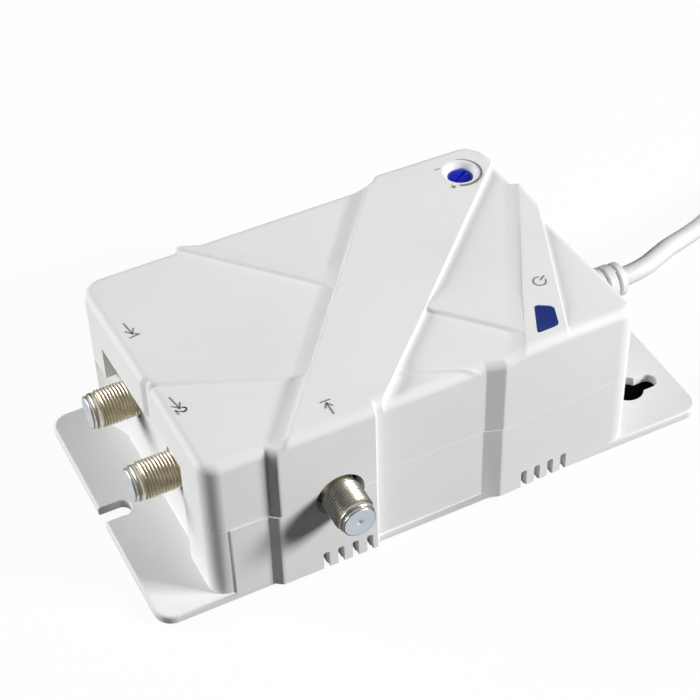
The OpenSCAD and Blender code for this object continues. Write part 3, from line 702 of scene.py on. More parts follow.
@dataclass(frozen=True)
class PlatedMetal(Stuff):
    """Bright plate on turned brass, rubbed through to brass in random patches, with painted shade
    in brass colour in the thread valleys.
    """

    # colour of the rubbed-through brass patches and of the painted shade in the thread valleys
    wear_and_shade: Colour
    roughness: float
    axis_centre: Point = (0, 0, 0)
    axis: Axis | None = None
    # radii over which the painted shade fills the thread valleys
    valley: Plan = (0.0, 0.0)
    zone: Plan = (0.0, 0.0)

    def write(self, recipe: Recipe) -> None:
        """Sets the recipe's surface up.

        Args:
            recipe: the material under construction.
        """
        x, y, z = recipe.axes(self.axis_centre)
        tone = recipe.noise(260, 4, 0.6)
        turning = recipe.noise(900, 2, 0.5)
        # random patches rubbed through to brass
        wear_and_shade = tone.step(0.55, 0.85) * 0.5
        if self.axis is not None:
            across, along = (x, y) if self.axis is Axis.Y else (y, x)
            radius = (across * across + z * z).root()
            start, end = self.zone
            threaded = along.step(start, start + 0.0002) * (1 - along.step(end - 0.0002, end))
            # painted shade: the thread valleys take the darker brass colour, where shade falls in
            # them
            valley_shade = (1 - radius.step(*self.valley)) * threaded
            wear_and_shade = wear_and_shade.most(valley_shade * (0.6 + 0.5 * tone))
        recipe.set(
            Base_Color=recipe.blend(wear_and_shade.least(1.0), self.colour, self.wear_and_shade),
            Metallic=1.0,
            Roughness=self.roughness + 0.14 * (turning - 0.35) + 0.1 * wear_and_shade,
        )
        recipe.relief(turning, 0.000012, 0.5)


@dataclass(frozen=True)
class SheetMetal(Stuff):
    """Rolled or cast metal with a directional finish."""

    roughness: float = 0.35
    stretch: Point = (1, 18, 1)
    scale: float = 300

    def write(self, recipe: Recipe) -> None:
        """Sets the recipe's surface up.

        Args:
            recipe: the material under construction.
        """
        streak = recipe.noise(self.scale, 4, 0.6, self.stretch)
        stain = recipe.noise(60, 3, 0.6)
        recipe.set(
            Base_Color=recipe.blend(stain.step(0.4, 0.8), self.colour, self.shade(0.72)),
            Metallic=1.0,
            Roughness=self.roughness + 0.2 * (streak - 0.5),
        )
        recipe.relief(streak, 0.00002, 0.4)


@dataclass(frozen=True)
class Laminate(Stuff):
    """Solder resist over copper traces."""

    trace: Colour

    def write(self, recipe: Recipe) -> None:
        """Sets the recipe's surface up.

        Args:
            recipe: the material under construction.
        """
        x, y, _ = recipe.axes()
        wander = recipe.noise(90, 1, 0.4)
        lines = ((x * 1800 + 14 * wander).sine() * (y * 1500 - 11 * wander).sine()).step(0.1, 0.35)
        recipe.set(
            Base_Color=recipe.blend(lines, self.colour, self.trace),
            Roughness=0.38 - 0.1 * lines,
            Coat_Weight=0.3,
        )
        recipe.relief(lines, 0.00004, 0.6)


@dataclass(frozen=True)
class Banded(Stuff):
    """Stacked or wound stuff: laminations, wire or tape in layers."""

    gap: Colour
    axis: Axis
    pitch: float
    roughness: float = 0.5
    metal: float = 0.0

    def write(self, recipe: Recipe) -> None:
        """Sets the recipe's surface up.

        Args:
            recipe: the material under construction.
        """
        along = recipe.axes()[self.axis.value]
        waver = recipe.noise(120, 2, 0.5)
        band = (along * (2 * math.pi / self.pitch) + 1.2 * waver).sine() * 0.5 + 0.5
        recipe.set(
            Base_Color=recipe.blend(band.step(0.15, 0.6), self.gap, self.colour),
            Roughness=self.roughness + 0.15 * (1 - band),
            Metallic=self.metal,
        )
        recipe.relief(band, 0.00008, 0.7)


@dataclass(frozen=True)
class SoftPlastic(Stuff):
    """Flexible jacket plastic, smooth and faintly waxy."""

    roughness: float = 0.4

    def write(self, recipe: Recipe) -> None:
        """Sets the recipe's surface up.

        Args:
            recipe: the material under construction.
        """
        wave = recipe.noise(160, 3, 0.5)
        pore = recipe.noise(1900, 2, 0.6)
        recipe.set(
            Base_Color=recipe.blend(wave.step(0.4, 0.75), self.colour, self.shade(0.95)),
            Roughness=self.roughness + 0.12 * (wave - 0.5),
        )
        recipe.relief(wave + 0.3 * pore, 0.00003, 0.5)


@dataclass(frozen=True)
class PrintInk(Stuff):
    """Pad-printed grey ink, a little uneven."""

    def write(self, recipe: Recipe) -> None:
        """Sets the recipe's surface up.

        Args:
            recipe: the material under construction.
        """
        patch = recipe.noise(1500, 3, 0.7)
        recipe.set(
            Base_Color=recipe.blend(patch.step(0.45, 0.75), self.colour, self.shade(1.5)),
            Roughness=0.55 + 0.1 * patch,
        )
        recipe.relief(patch, 0.00001, 0.3)


def output_plate(number: int) -> PlatedMetal:
    """Plate of output 1 or 2, with painted shade in brass colour in the thread valleys round its
    own axis.

    Args:
        number: 1 or 2.

    Returns:
        The finish.
    """
    centre = (0, OUTPUT_Y[number - 1] * MM, SOCKET_Z * MM)
    return PlatedMetal(
        f"output_{number}_plate", (0.86, 0.82, 0.73), (0.62, 0.52, 0.28), 0.3, centre, Axis.X,
        (0.0042, 0.00465), (-0.0664, -0.0570),
    )


class Finish(Enum):
    """Every finish on the amplifier."""

    CASE = MouldedPlastic("white_case", (0.84, 0.84, 0.842), 0.62, gloss=0.28)
    DIAL = MouldedPlastic("blue_dial", (0.004, 0.012, 0.52), 0.3, 1800, 0.00003, 0.1)
    LENS = TintedLens("blue_lens", (0.001, 0.002, 0.05), (0.004, 0.03, 0.42))
    # painted shade: the same nickel plating as the output sockets, made darker for the input socket
    INPUT_PLATE = PlatedMetal(
        "shaded_input_plate", (0.64, 0.63, 0.59), (0.42, 0.39, 0.27), 0.24,
        (INPUT_X * MM, 0, SOCKET_Z * MM), Axis.Y, (0.00445, 0.0049), (-0.0451, -0.0360),
    )
    OUTPUT_1_PLATE = output_plate(1)
    OUTPUT_2_PLATE = output_plate(2)
    PIN_PLATE = PlatedMetal("pin_plate", (0.72, 0.71, 0.68), (0.5, 0.42, 0.28), 0.24)
    CONTACT = PlatedMetal("contact_plate", (0.75, 0.58, 0.28), (0.45, 0.3, 0.12), 0.3)
    INSULATOR = MouldedPlastic("white_insulator", (0.7, 0.76, 0.84), 0.35, 1500, 0.00001, 0.02)
    CORD = SoftPlastic("white_jacket", (0.72, 0.72, 0.725), 0.55)
    PLUG = SoftPlastic("white_plug", (0.82, 0.82, 0.825), 0.48)
    TIE = SoftPlastic("white_tie", (0.8, 0.8, 0.8), 0.5)
    INK = PrintInk("grey_print", (0.2, 0.2, 0.21))
    SCREW = SheetMetal("zinc_screw", (0.62, 0.62, 0.6), 0.32, (1, 1, 9), 700)
    TIN = SheetMetal("tinned_sheet", (0.66, 0.67, 0.66), 0.38)
    SINK = SheetMetal("black_anodised", (0.04, 0.04, 0.043), 0.5, (1, 1, 14), 500)
    FERRITE = MouldedPlastic("ferrite", (0.07, 0.07, 0.075), 0.7, 1400, 0.00008, 0.15)
    BOARD = Laminate("circuit_board", (0.02, 0.14, 0.045), (0.05, 0.3, 0.09))
    # painted shade: near-black sheet under the keyholes, standing in for the dark seen through them
    CARD = MouldedPlastic("painted_keyhole_shade", (0.003, 0.003, 0.003), 0.9, 1800, 0.00003, 0.1, 0.0)
    CHIP = MouldedPlastic("black_moulding", (0.02, 0.02, 0.021), 0.5, 1800, 0.00003, 0.1)
    CERAMIC = MouldedPlastic("tan_ceramic", (0.45, 0.32, 0.18), 0.5, 1600, 0.00003, 0.1)
    TRIMMER = MouldedPlastic("blue_trimmer", (0.02, 0.1, 0.42), 0.4, 1500, 0.00002, 0.05)
    TERMINAL = MouldedPlastic("green_terminal", (0.03, 0.3, 0.08), 0.45, 1500, 0.00003, 0.05)
    SLEEVE = SoftPlastic("capacitor_sleeve", (0.015, 0.02, 0.11), 0.3)
    WIRE = SoftPlastic("brown_wire", (0.16, 0.06, 0.025), 0.4)
    FUSE = TintedLens("fuse_tube", (0.55, 0.56, 0.54), (0.75, 0.76, 0.74))
    IRON = Banded("laminations", (0.22, 0.23, 0.25), (0.06, 0.05, 0.05), Axis.Y, 0.0005, 0.45, 0.8)
    WINDING = Banded("wound_tape", (0.62, 0.42, 0.08), (0.4, 0.25, 0.04), Axis.Z, 0.0018, 0.45)

    def material(self) -> bpy.types.Material:
        """Returns this finish's material, made on first use."""
        found = bpy.data.materials.get(self.value.name)
        return found if found is not None else self.value.make()


class Slot(Enum):
    """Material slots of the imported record."""

    CASE = "case_plastic"
    DIAL = "blue_plastic"
    LENS = "blue_lens"
    METAL = "nickel"
    INSULATOR = "insulator"
    SOFT = "soft_white"


def dress(
    obj: Solid, finish: Finish, replaces: Sequence[str] = (), body: str = BODY
) -> Solid:
    """Gives a piece its finish and body, and hides the nodes that it stands for.

    Args:
        obj: the piece, in metres and in place.
        finish: its finish.
        replaces: nodes that it stands for.
        body: the body that carries it.

    Returns:
        The piece.
    """
    obj.data.materials.clear()
    obj.data.materials.append(finish.material())
    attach(obj, body)
    if replaces:
        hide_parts(*replaces)
    LOG.info("%s: %d faces", obj.name, len(getattr(obj.data, "polygons", [])))
    return obj


def finish_node(node: str, finish: Finish) -> None:
    """Gives a carried-over node its finish.

    Args:
        node: the node's name.
        finish: its finish.
    """
    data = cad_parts[node].data
    data.materials.clear()
    data.materials.append(finish.material())
    LOG.info("%s: %s", node, finish.name.lower())


@dataclass(frozen=True)
class Line:
    """A straight band edge in plan, from the case front to its back."""

    front: Plan
    back: Plan

    def side(self, x: float, y: float) -> float:
        """Signed distance of a plan point, positive to the right, seen from the front."""
        dx, dy = self.back[0] - self.front[0], self.back[1] - self.front[1]
        return ((x - self.front[0]) * dy - (y - self.front[1]) * dx) / math.hypot(dx, dy)

    def normal(self) -> Plan:
        """Plan direction that side() grows in.

        Returns:
            A plan direction of length 1.
        """
        dx, dy = self.back[0] - self.front[0], self.back[1] - self.front[1]
        size = math.hypot(dx, dy)
        return dy / size, -dx / size

    def shifted(self, distance: float) -> Plan:
        """A point on the line moved sideways by a distance."""
        nx, ny = self.normal()
        return self.front[0] + nx * distance, self.front[1] + ny * distance


def ramp(value: float, stops: Sequence[Plan]) -> float:
    """Straight-line interpolation in a list of stops.

    Args:
        value: where to read.
        stops: position and value pairs, in order.

    Returns:
        The value there.
    """
    if value <= stops[0][0]:
        return stops[0][1]
    for (a, va), (b, vb) in zip(stops, stops[1:]):
        if value <= b:
            return va + (vb - va) * (value - a) / (b - a)
    return stops[-1][1]


@dataclass
class CaseShell:
    """The two shells of the case with their folded, overlapping bands. Sizes in millimetres."""

    x0: float = -59.2
    x1: float = 48.4
    y0: float = -36.1
    y1: float = 32.9
    seam: float = 23.5
    top: float = 44.3
    wall: float = 2.2
    edge: float = 2.4
    seam_round: float = 0.13
    base_low: Point = (-73.0, -36.5, 0.0)
    base_high: Point = (73.0, 36.5, 2.5)
    rear: float = 0.8
    ridge: float = 1.1
    main_front: float = 1.9
    main_back: float = 2.55
    main_tilt: float = 0.55
    main_width: float = 24.0
    narrow: float = 1.7
    overlap: float = 0.6
    bevel_low: float = 0.35
    corners: dict[Plan, float] = field(
        default_factory=lambda: {(-1, -1): 4.4, (1, -1): 2.6, (-1, 1): 4.0, (1, 1): 6.0}
    )
    main_left: Line = Line((-39.04, -36.1), (16.2, 32.9))
    main_right: Line = Line((-15.9, -36.1), (54.5, 32.9))
    narrow_left: Line = Line((20.1, -36.1), (58.3, 32.9))
    narrow_right: Line = Line((31.6, -36.1), (60.1, 32.9))
    crease: Line = Line((46.2, -36.1), (-29.6, 32.9))
    fold: Line = Line((27.0, -36.1), (-34.6, 32.9))
    rear_edge: Line = Line((8.6, -36.1), (-60.3, -5.0))
    bevel_edge: Line = Line((18.4, -38.6), (-2.9, -26.8))
    plain_stops: tuple[Plan, ...] = (
        (-0.8, 0.0), (-0.5, 0.2), (-0.1, 0.66), (0.15, 0.9), (0.45, 1.0),
    )
    left_stops: tuple[Plan, ...] = (
        (-4.0, 0.0), (-3.1, 0.06), (-2.0, 0.25), (-1.0, 0.48), (-0.2, 0.74), (0.15, 0.9),
        (0.5, 0.985), (0.9, 1.0),
    )
    right_stops: tuple[Plan, ...] = (
        (-4.0, 0.0), (-2.4, -0.03), (-0.7, -0.07), (-0.16, -0.06), (-0.06, 0.5), (0.04, 0.9),
        (0.16, 0.985), (0.4, 1.0),
    )
    front_upper: tuple[Plan, ...] = (
        (-44.4, 0.0), (-44.1, 0.12), (-42.7, 1.68), (-42.4, 1.87), (-41.9, 1.9), (-18.7, 1.9),
        (-18.45, 1.82), (-18.2, 1.5), (-18.03, 1.0), (-17.94, 0.45), (-17.9, 0.0), (10.1, 0.0),
        (10.6, 0.1), (14.4, 1.38), (15.0, 1.5), (46.0, 0.15),
    )
    front_lower: tuple[Plan, ...] = (
        (-54.7, 0.0), (-54.5, 0.05), (-54.0, 0.4), (-45.2, 0.4), (-44.9, 0.5), (-43.2, 1.75),
        (-42.8, 1.87), (-42.2, 1.9), (-18.7, 1.9), (-18.45, 1.82), (-18.2, 1.5), (-18.03, 1.0),
        (-17.94, 0.45), (-17.9, 0.0), (9.8, 0.0), (10.3, 0.1), (14.2, 1.38), (14.8, 1.5),
        (46.0, 0.15),
    )
    back_wall: tuple[Plan, ...] = (
        (-36.2, 0.8), (-35.4, 1.8), (-34.8, 1.9), (-29.5, 0.85), (-29.0, 0.8), (16.8, 0.8),
        (17.4, 1.1), (18.6, 2.3), (19.2, 2.5),
    )
    left_wall: tuple[Plan, ...] = (
        (-4.7, 0.0), (-4.3, 0.08), (-3.2, 0.72), (-2.7, 0.8), (29.0, 1.6),
    )
    right_wall: tuple[Plan, ...] = (
        (-36.1, 2.2), (1.2, 0.3), (1.7, 0.45), (3.2, 1.45), (3.8, 1.6), (15.8, 1.6), (16.3, 1.4),
        (17.2, 0.2), (17.7, 0.0),
    )

    def rise(self, x: float, y: float) -> float:
        """Height of the top over its lowest level at a plan point.

        Args:
            x: plan place.
            y: plan place.

        Returns:
            The height over the lowest band.
        """
        behind = self.rear_edge.side(x, y)
        level = self.rear * ramp(behind, self.plain_stops)
        short = -self.bevel_edge.side(x, y)
        if self.main_right.side(x, y) > -self.overlap and behind > 0 and short > 0:
            share = behind / (behind + short)
            level = self.rear * (self.bevel_low + (1 - self.bevel_low) * share)
        inside, beyond = self.fold.side(x, y), self.crease.side(x, y)
        if beyond < 0:
            share = 1.0 if inside <= 0 else -beyond / (inside - beyond)
            level += self.ridge * share * ramp(inside, self.plain_stops)
        strip = min(
            ramp(self.narrow_left.side(x, y), self.left_stops),
            ramp(-self.narrow_right.side(x, y), self.right_stops),
        )
        level += (self.narrow - level) * strip
        along = (y - self.y0) / (self.y1 - self.y0)
        across = max(0.0, min(1.0, self.main_left.side(x, y) / self.main_width))
        climb = self.main_back - self.main_front - self.main_tilt * across
        crest = self.main_front + climb * along
        band = min(
            ramp(self.main_left.side(x, y), self.left_stops),
            ramp(-self.main_right.side(x, y), self.right_stops),
        )
        return level + (crest - level) * band

    def outward(self, x: float, y: float) -> Vector:
        """Level direction square to the plain block's wall nearest to a plan point.

        Args:
            x: plan place.
            y: plan place.

        Returns:
            The direction, of length 1.
        """
        cx, cy = (self.x0 + self.x1) / 2, (self.y0 + self.y1) / 2
        radius = self.corners[(1 if x > cx else -1, 1 if y > cy else -1)]
        side = Vector(
            (
                x - max(self.x0 + radius, min(self.x1 - radius, x)),
                y - max(self.y0 + radius, min(self.y1 - radius, y)),
                0,
            )
        )
        if abs(side.x) > 1e-6 and abs(side.y) > 1e-6:
            return side.normalized()
        gaps = {
            (-1, 0): x - self.x0, (1, 0): self.x1 - x, (0, -1): y - self.y0, (0, 1): self.y1 - y,
        }
        return Vector((*min(gaps, key=gaps.get), 0))

    def step_walls(self, obj: Solid, lower: bool) -> None:
        """Scores the upright lines of the wall steps and moves the walls out between them.

        Args:
            obj: the plain block.
            lower: it is the lower shell.
        """
        front = self.front_lower if lower else self.front_upper
        rim = self.edge + 0.05

        def near(low: float, high: float, place: float) -> bool:
            """A place lies within the rounded edge of one of two walls."""
            return min(abs(place - low), abs(place - high)) < rim

        for x, _ in front:
            Bench.score(obj, (x, 0), (1, 0), lambda c, n: c.y < self.y0 + rim)
        for x, _ in self.back_wall:
            Bench.score(obj, (x, 0), (1, 0), lambda c, n: c.y > self.y1 - rim)
        for y, _ in self.left_wall:
            Bench.score(obj, (0, y), (0, 1), lambda c, n: c.x < self.x0 + rim)
        for y, _ in self.right_wall:
            Bench.score(obj, (0, y), (0, 1), lambda c, n: c.x > self.x1 - rim)
        for vertex in obj.data.vertices:
            x, y, _ = vertex.co
            if near(self.x0, self.x1, x) or near(self.y0, self.y1, y):
                out = self.outward(x, y)
                vertex.co.x += out.x * ramp(y, self.right_wall if out.x > 0 else self.left_wall)
                vertex.co.y += out.y * ramp(x, self.back_wall if out.y > 0 else front)
        obj.data.update()

    def plain_block(self, name: str, low: float, high: float, lower: bool) -> Solid:
        """Makes the block that one shell starts from, with round corners and edges.

        Args:
            name: the object's name.
            low: height of its underside.
            high: height of its top.
            lower: it is the lower shell, whose top stays sharp.

        Returns:
            The block.
        """
        obj = Bench.block(name, (self.x0, self.y0, low), (self.x1, self.y1, high))
        cx, cy = (self.x0 + self.x1) / 2, (self.y0 + self.y1) / 2
        upright = Bench.along(Axis.Z)
        for (sx, sy), radius in self.corners.items():
            Bench.bevel(
                obj,
                lambda e, sx=sx, sy=sy: upright(e)
                and (e.verts[0].co.x - cx) * sx > 20
                and (e.verts[0].co.y - cy) * sy > 20
                and len(e.link_faces) == 2
                and e.calc_face_angle(0) > 1,
                radius,
                8,
            )
        if not lower:
            Bench.bevel(obj, Bench.rim(high), self.edge, 6)
        Bench.bevel(obj, Bench.rim(high if lower else low), self.seam_round, 2)
        return obj

    def score_top(self, obj: Solid) -> None:
        """Scores the band edges into the top and its round edge.

        Args:
            obj: the upper shell's block.
        """
        floor = self.top - self.edge - 0.01

        def up(c: Vector) -> bool:
            """The face lies on the top or its round edge."""
            return c.z > floor

        def lines(line: Line, stops: Sequence[Plan], sign: int, where: FaceTest) -> None:
            """Scores one line for each stop beside a band edge."""
            for distance, _ in stops:
                Bench.score(obj, line.shifted(sign * distance), line.normal(), where)

        def right_of_main(c: Vector, n: Vector) -> bool:
            """The face lies right of the main band."""
            return up(c) and self.main_right.side(c.x, c.y) > -0.1

        def outside_bands(c: Vector, n: Vector) -> bool:
            """The face lies on neither diagonal band.

            Args:
                c: the face's centre.
                n: its normal.

            Returns:
                The answer.
            """
            main = self.main_left.side(c.x, c.y) > 0 and self.main_right.side(c.x, c.y) < 0
            narrow = self.narrow_left.side(c.x, c.y) > 0 and self.narrow_right.side(c.x, c.y) < 0
            return up(c) and not main and not narrow

        def from_main(c: Vector, n: Vector) -> bool:
            """The face lies on the main band or right of it."""
            return up(c) and self.main_left.side(c.x, c.y) > 0

        lines(self.main_left, self.left_stops, 1, lambda c, n: up(c))
        lines(self.main_right, self.right_stops, -1, from_main)
        lines(self.narrow_left, self.left_stops, 1, right_of_main)
        lines(self.narrow_right, self.right_stops, -1, right_of_main)
        lines(self.rear_edge, self.plain_stops, 1, outside_bands)
        lines(self.fold, self.plain_stops, 1, outside_bands)
        Bench.score(obj, self.crease.front, self.crease.normal(), outside_bands)
        Bench.score(
            obj,
            self.bevel_edge.front,
            self.bevel_edge.normal(),
            lambda c, n: right_of_main(c, n) and outside_bands(c, n) and c.x < 20,
        )

    def raise_bands(self, obj: Solid) -> None:
        """Lifts every point of the top and its round edge to the height of its band.

        Args:
            obj: the upper shell's block, scored.
        """
        floor = self.top - self.edge - 0.01
        for vertex in obj.data.vertices:
            if vertex.co.z > floor:
                vertex.co.z += self.rise(vertex.co.x, vertex.co.y)
        obj.data.update()

    def upper_form(self) -> Solid:
        """Models the upper shell as a closed form, before its openings.

        Returns:
            The form.
        """
        obj = self.plain_block("case_upper", self.seam, self.top, False)
        self.step_walls(obj, False)
        self.score_top(obj)
        self.raise_bands(obj)
        return obj

    def lower_form(self) -> Solid:
        """Models the lower shell's walls as a closed form, before its openings.

        Returns:
            The form.
        """
        obj = self.plain_block("case_lower", 0.6, self.seam, True)
        self.step_walls(obj, True)
        return obj


@dataclass
class Shells:
    """Openings and insides of the case shells, and the two finished pieces."""

    form: CaseShell
    room_low: Point = (-57.0, -33.9, 2.5)
    room_high: Point = (46.2, 30.7, 42.1)
    recess_low: Point = (-75.0, -22.0, 2.5)
    recess_high: Point = (-57.4, 22.0, 33.2)
    recess_ramp: Plan = (-61.4, 31.0)
    recess_wall: float = -55.2
    recess_wall_half: float = 24.2
    posts: tuple[Plan, ...] = ((-51.6, 27.3), (43.3, 14.0), (43.3, -30.5), (-8.8, -30.5))
    post_radius: float = 3.5
    screw_bore: float = 1.7
    screw_head: float = 3.0
    input_run: Plan = (-45.0, -33.0)
    input_hole: float = 6.0
    output_run: Plan = (-66.0, -54.0)
    output_hole: float = 5.3
    cord_run: Plan = (45.0, 52.0)
    cord_hole: float = 4.35
    seat_run: Plan = (48.4, 60.0)
    cord_seat: float = 5.65
    through_top: Plan = (40.0, 50.0)
    well: float = 3.25
    crater: float = 4.4
    window_gap: float = 0.12
    window_corner: float = 0.9
    base_corner: float = 4.5
    base_round: float = 0.7
    base_under: float = 0.4
    fixing_round: float = 0.3
    slot_x: Plan = (-80.0, -68.0)
    slot_half: float = 2.5
    keyhole_radius: float = 4.1
    keyhole_half: float = 2.25
    keyhole_x: Plan = (60.0, 66.0)
    keyhole_y: Plan = (-22.5, 22.5)
    vent_starts: Plan = (-32.7, 20.3)
    vents: int = 4
    vent_pitch: float = 3.75
    vent_width: float = 1.6
    vent_height: float = 5.8
    vent_round: float = 0.6

    def room(self, low: float, high: float) -> Solid:
        """Makes the tool that hollows a shell, with the posts and the recess wall left out.

        Args:
            low: its underside.
            high: its top.

        Returns:
            The tool.
        """
        x0, y0, _ = self.room_low
        x1, y1, _ = self.room_high
        tool = Bench.block("room", (x0, y0, low), (x1, y1, high))
        half, wall = self.recess_wall_half, self.recess_high[2] + self.form.wall
        Bench.cut(tool, Bench.block("keep", (x0 - 1, -half, -1), (self.recess_wall, half, wall)))
        for x, y in self.posts:
            Bench.bore(tool, low - 1, high + 1, self.post_radius, Axis.Z, (x, y, 0))
        return tool

    def socket_cuts(self, obj: Solid, lower: bool) -> None:
        """Cuts the clearance holes of the sockets and the lead, and the recess of the outputs.

        Args:
            obj: the shell.
            lower: it is the lower shell, where the recess runs out in a slope.
        """
        low, high = self.recess_low, self.recess_high
        if lower:
            plan = [(low[0], low[1]), (high[0], low[1]), (high[0], high[1]), self.recess_ramp]
            plan.append((low[0], self.recess_ramp[1]))
            Bench.cut(obj, Bench.prism("recess", plan, low[2], high[2]))
        else:
            Bench.cut(obj, Bench.block("recess", low, high))
        Bench.bore(obj, *self.input_run, self.input_hole, Axis.Y, (INPUT_X, 0, SOCKET_Z))
        for y in OUTPUT_Y:
            Bench.bore(obj, *self.output_run, self.output_hole, Axis.X, (0, y, SOCKET_Z))
        Bench.bore(obj, *self.cord_run, self.cord_hole, Axis.X, (0, CORD_Y, SOCKET_Z))
        Bench.bore(obj, *self.seat_run, self.cord_seat, Axis.X, (0, CORD_Y, SOCKET_Z))

    def upper(self) -> Solid:
        """Builds the upper shell.

        Returns:
            The finished piece, in metres.
        """
        obj = self.form.upper_form()
        Bench.cut(obj, self.room(self.form.seam - 1, self.room_high[2]))
        self.socket_cuts(obj, False)
        x, y = DIAL_PLACE
        Bench.bore(obj, *self.through_top, self.well, Axis.Z, (x, y, 0))
        top = self.form.top + self.form.rise(x, y)
        mouth = [
            (self.well - 0.1, 44.7), (self.well + 0.1, 45.0), (self.well + 0.3, 45.2),
            (self.crater - 0.35, top - 0.35), (self.crater, top - 0.08),
            (self.crater + 0.6, top + 0.15), (self.crater + 1.5, top + 0.6),
        ]
        Bench.cut(obj, Bench.move(Bench.turned("crater", mouth), Matrix.Translation((x, y, 0))))
        mx, my = (sum(p[i] for p in WINDOW) / 4 for i in (0, 1))
        gap = self.window_gap
        grown = [
            (px + gap * math.copysign(1, px - mx), py + gap * math.copysign(1, py - my))
            for px, py in WINDOW
        ]
        window = Bench.prism("window", grown, *self.through_top)
        Bench.bevel(window, Bench.along(Axis.Z), self.window_corner, 4)
        Bench.cut(obj, window)
        return finish_shell(obj)

    def base_plate(self) -> Solid:
        """Builds the base plate with its flanges and round edges.

        Returns:
            The plate.
        """
        low, high = self.form.base_low, self.form.base_high
        obj = Bench.block("base_plate", low, high)
        Bench.bevel(obj, Bench.along(Axis.Z), self.base_corner, 8)
        Bench.bevel(obj, Bench.rim(high[2]), self.base_round, 4)
        Bench.bevel(obj, Bench.rim(low[2]), self.base_under, 2)
        return obj

    def fixing_cuts(self, obj: Solid) -> None:
        """Cuts the open slot and the two keyholes, each with a round mouth.

        Args:
            obj: the lower shell.
        """
        big, small = self.keyhole_x
        top = self.form.base_high[2]
        mouth, end = self.slot_x
        outlines = [slot_outline((mouth, 0.0), (end, 0.0), self.slot_half)]
        outlines += [
            keyhole_outline((big, y), (small, y), self.keyhole_radius, self.keyhole_half)
            for y in self.keyhole_y
        ]
        for outline in outlines:
            Bench.cut(obj, Bench.prism("fixing", outline, -1, 4))
            rim = {(round(x, 3), round(y, 3)) for x, y in outline}

            def at_mouth(v: bmesh.types.BMVert) -> bool:
                """The vertex lies on the opening's upper edge."""
                return abs(v.co.z - top) < 0.01 and (round(v.co.x, 3), round(v.co.y, 3)) in rim

            Bench.bevel(obj, lambda e: all(at_mouth(v) for v in e.verts), self.fixing_round, 2)

    def vent_cuts(self, obj: Solid) -> None:
        """Cuts the two rows of vent notches, with round tops.

        Args:
            obj: the lower shell.
        """
        runs_back = Bench.along(Axis.Y)
        for start in self.vent_starts:
            for index in range(self.vents):
                x = start + index * self.vent_pitch
                low, high = (x, -45, -1), (x + self.vent_width, -33.0, self.vent_height)
                tool = Bench.block("vent", low, high)
                Bench.bevel(
                    tool, lambda e: e.verts[0].co.z > 1 and runs_back(e), self.vent_round, 4
                )
                Bench.cut(obj, tool)

    def lower(self) -> Solid:
        """Builds the lower shell with the base plate.

        Returns:
            The finished piece, in metres.
        """
        obj = self.form.lower_form()
        Bench.cut(obj, self.base_plate(), "UNION")
        Bench.cut(obj, self.room(self.room_low[2], self.form.seam + 1))
        self.socket_cuts(obj, True)
        self.fixing_cuts(obj)
        self.vent_cuts(obj)
        for x, y in self.posts:
            Bench.bore(obj, -1, 25, self.screw_bore, Axis.Z, (x, y, 0))
            Bench.bore(obj, -1, 15, self.screw_head, Axis.Z, (x, y, 0))
        return finish_shell(obj)


def finish_shell(obj: Solid) -> Solid:
    """Brings a shell to metres, with its flat faces kept flat beside its round edges.

    Args:
        obj: the shell in millimetres.

    Returns:
        The shell in metres.
    """
    Bench.settle(obj, 38)
    Bench.pick(obj)
    step = obj.modifiers.new("flat", "WEIGHTED_NORMAL")
    step.keep_sharp = True
    step.weight = 80
    bpy.ops.object.modifier_apply(modifier=step.name)
    return obj


def arc(centre: Plan, radius: float, start: float, end: float, count: int) -> list[Plan]:
    """Points of an arc, in degrees."""
    steps = [math.radians(start + (end - start) * i / (count - 1)) for i in range(count)]
    return [(centre[0] + radius * math.cos(a), centre[1] + radius * math.sin(a)) for a in steps]


def slot_outline(mouth: Plan, end: Plan, half: float) -> list[Plan]:
    """Plan of a slot that is open at one end and round at the other, along +X."""
    return [(mouth[0], -half), *arc(end, half, -90, 90, 17), (mouth[0], half)]


def keyhole_outline(big: Plan, small: Plan, radius: float, half: float) -> list[Plan]:
    """Plan of a keyhole whose narrow part runs along +X from its round part."""
    angle = math.degrees(math.asin(half / radius))
    return [*arc(big, radius, angle, 360 - angle, 33), *arc(small, half, -90, 90, 13)]


class Facing(Enum):
    """Side of the case that a socket points out of, as the turn of its own axis."""

    FRONT = (math.pi / 2, 4, "X")
    LEFT = (-math.pi / 2, 4, "Y")


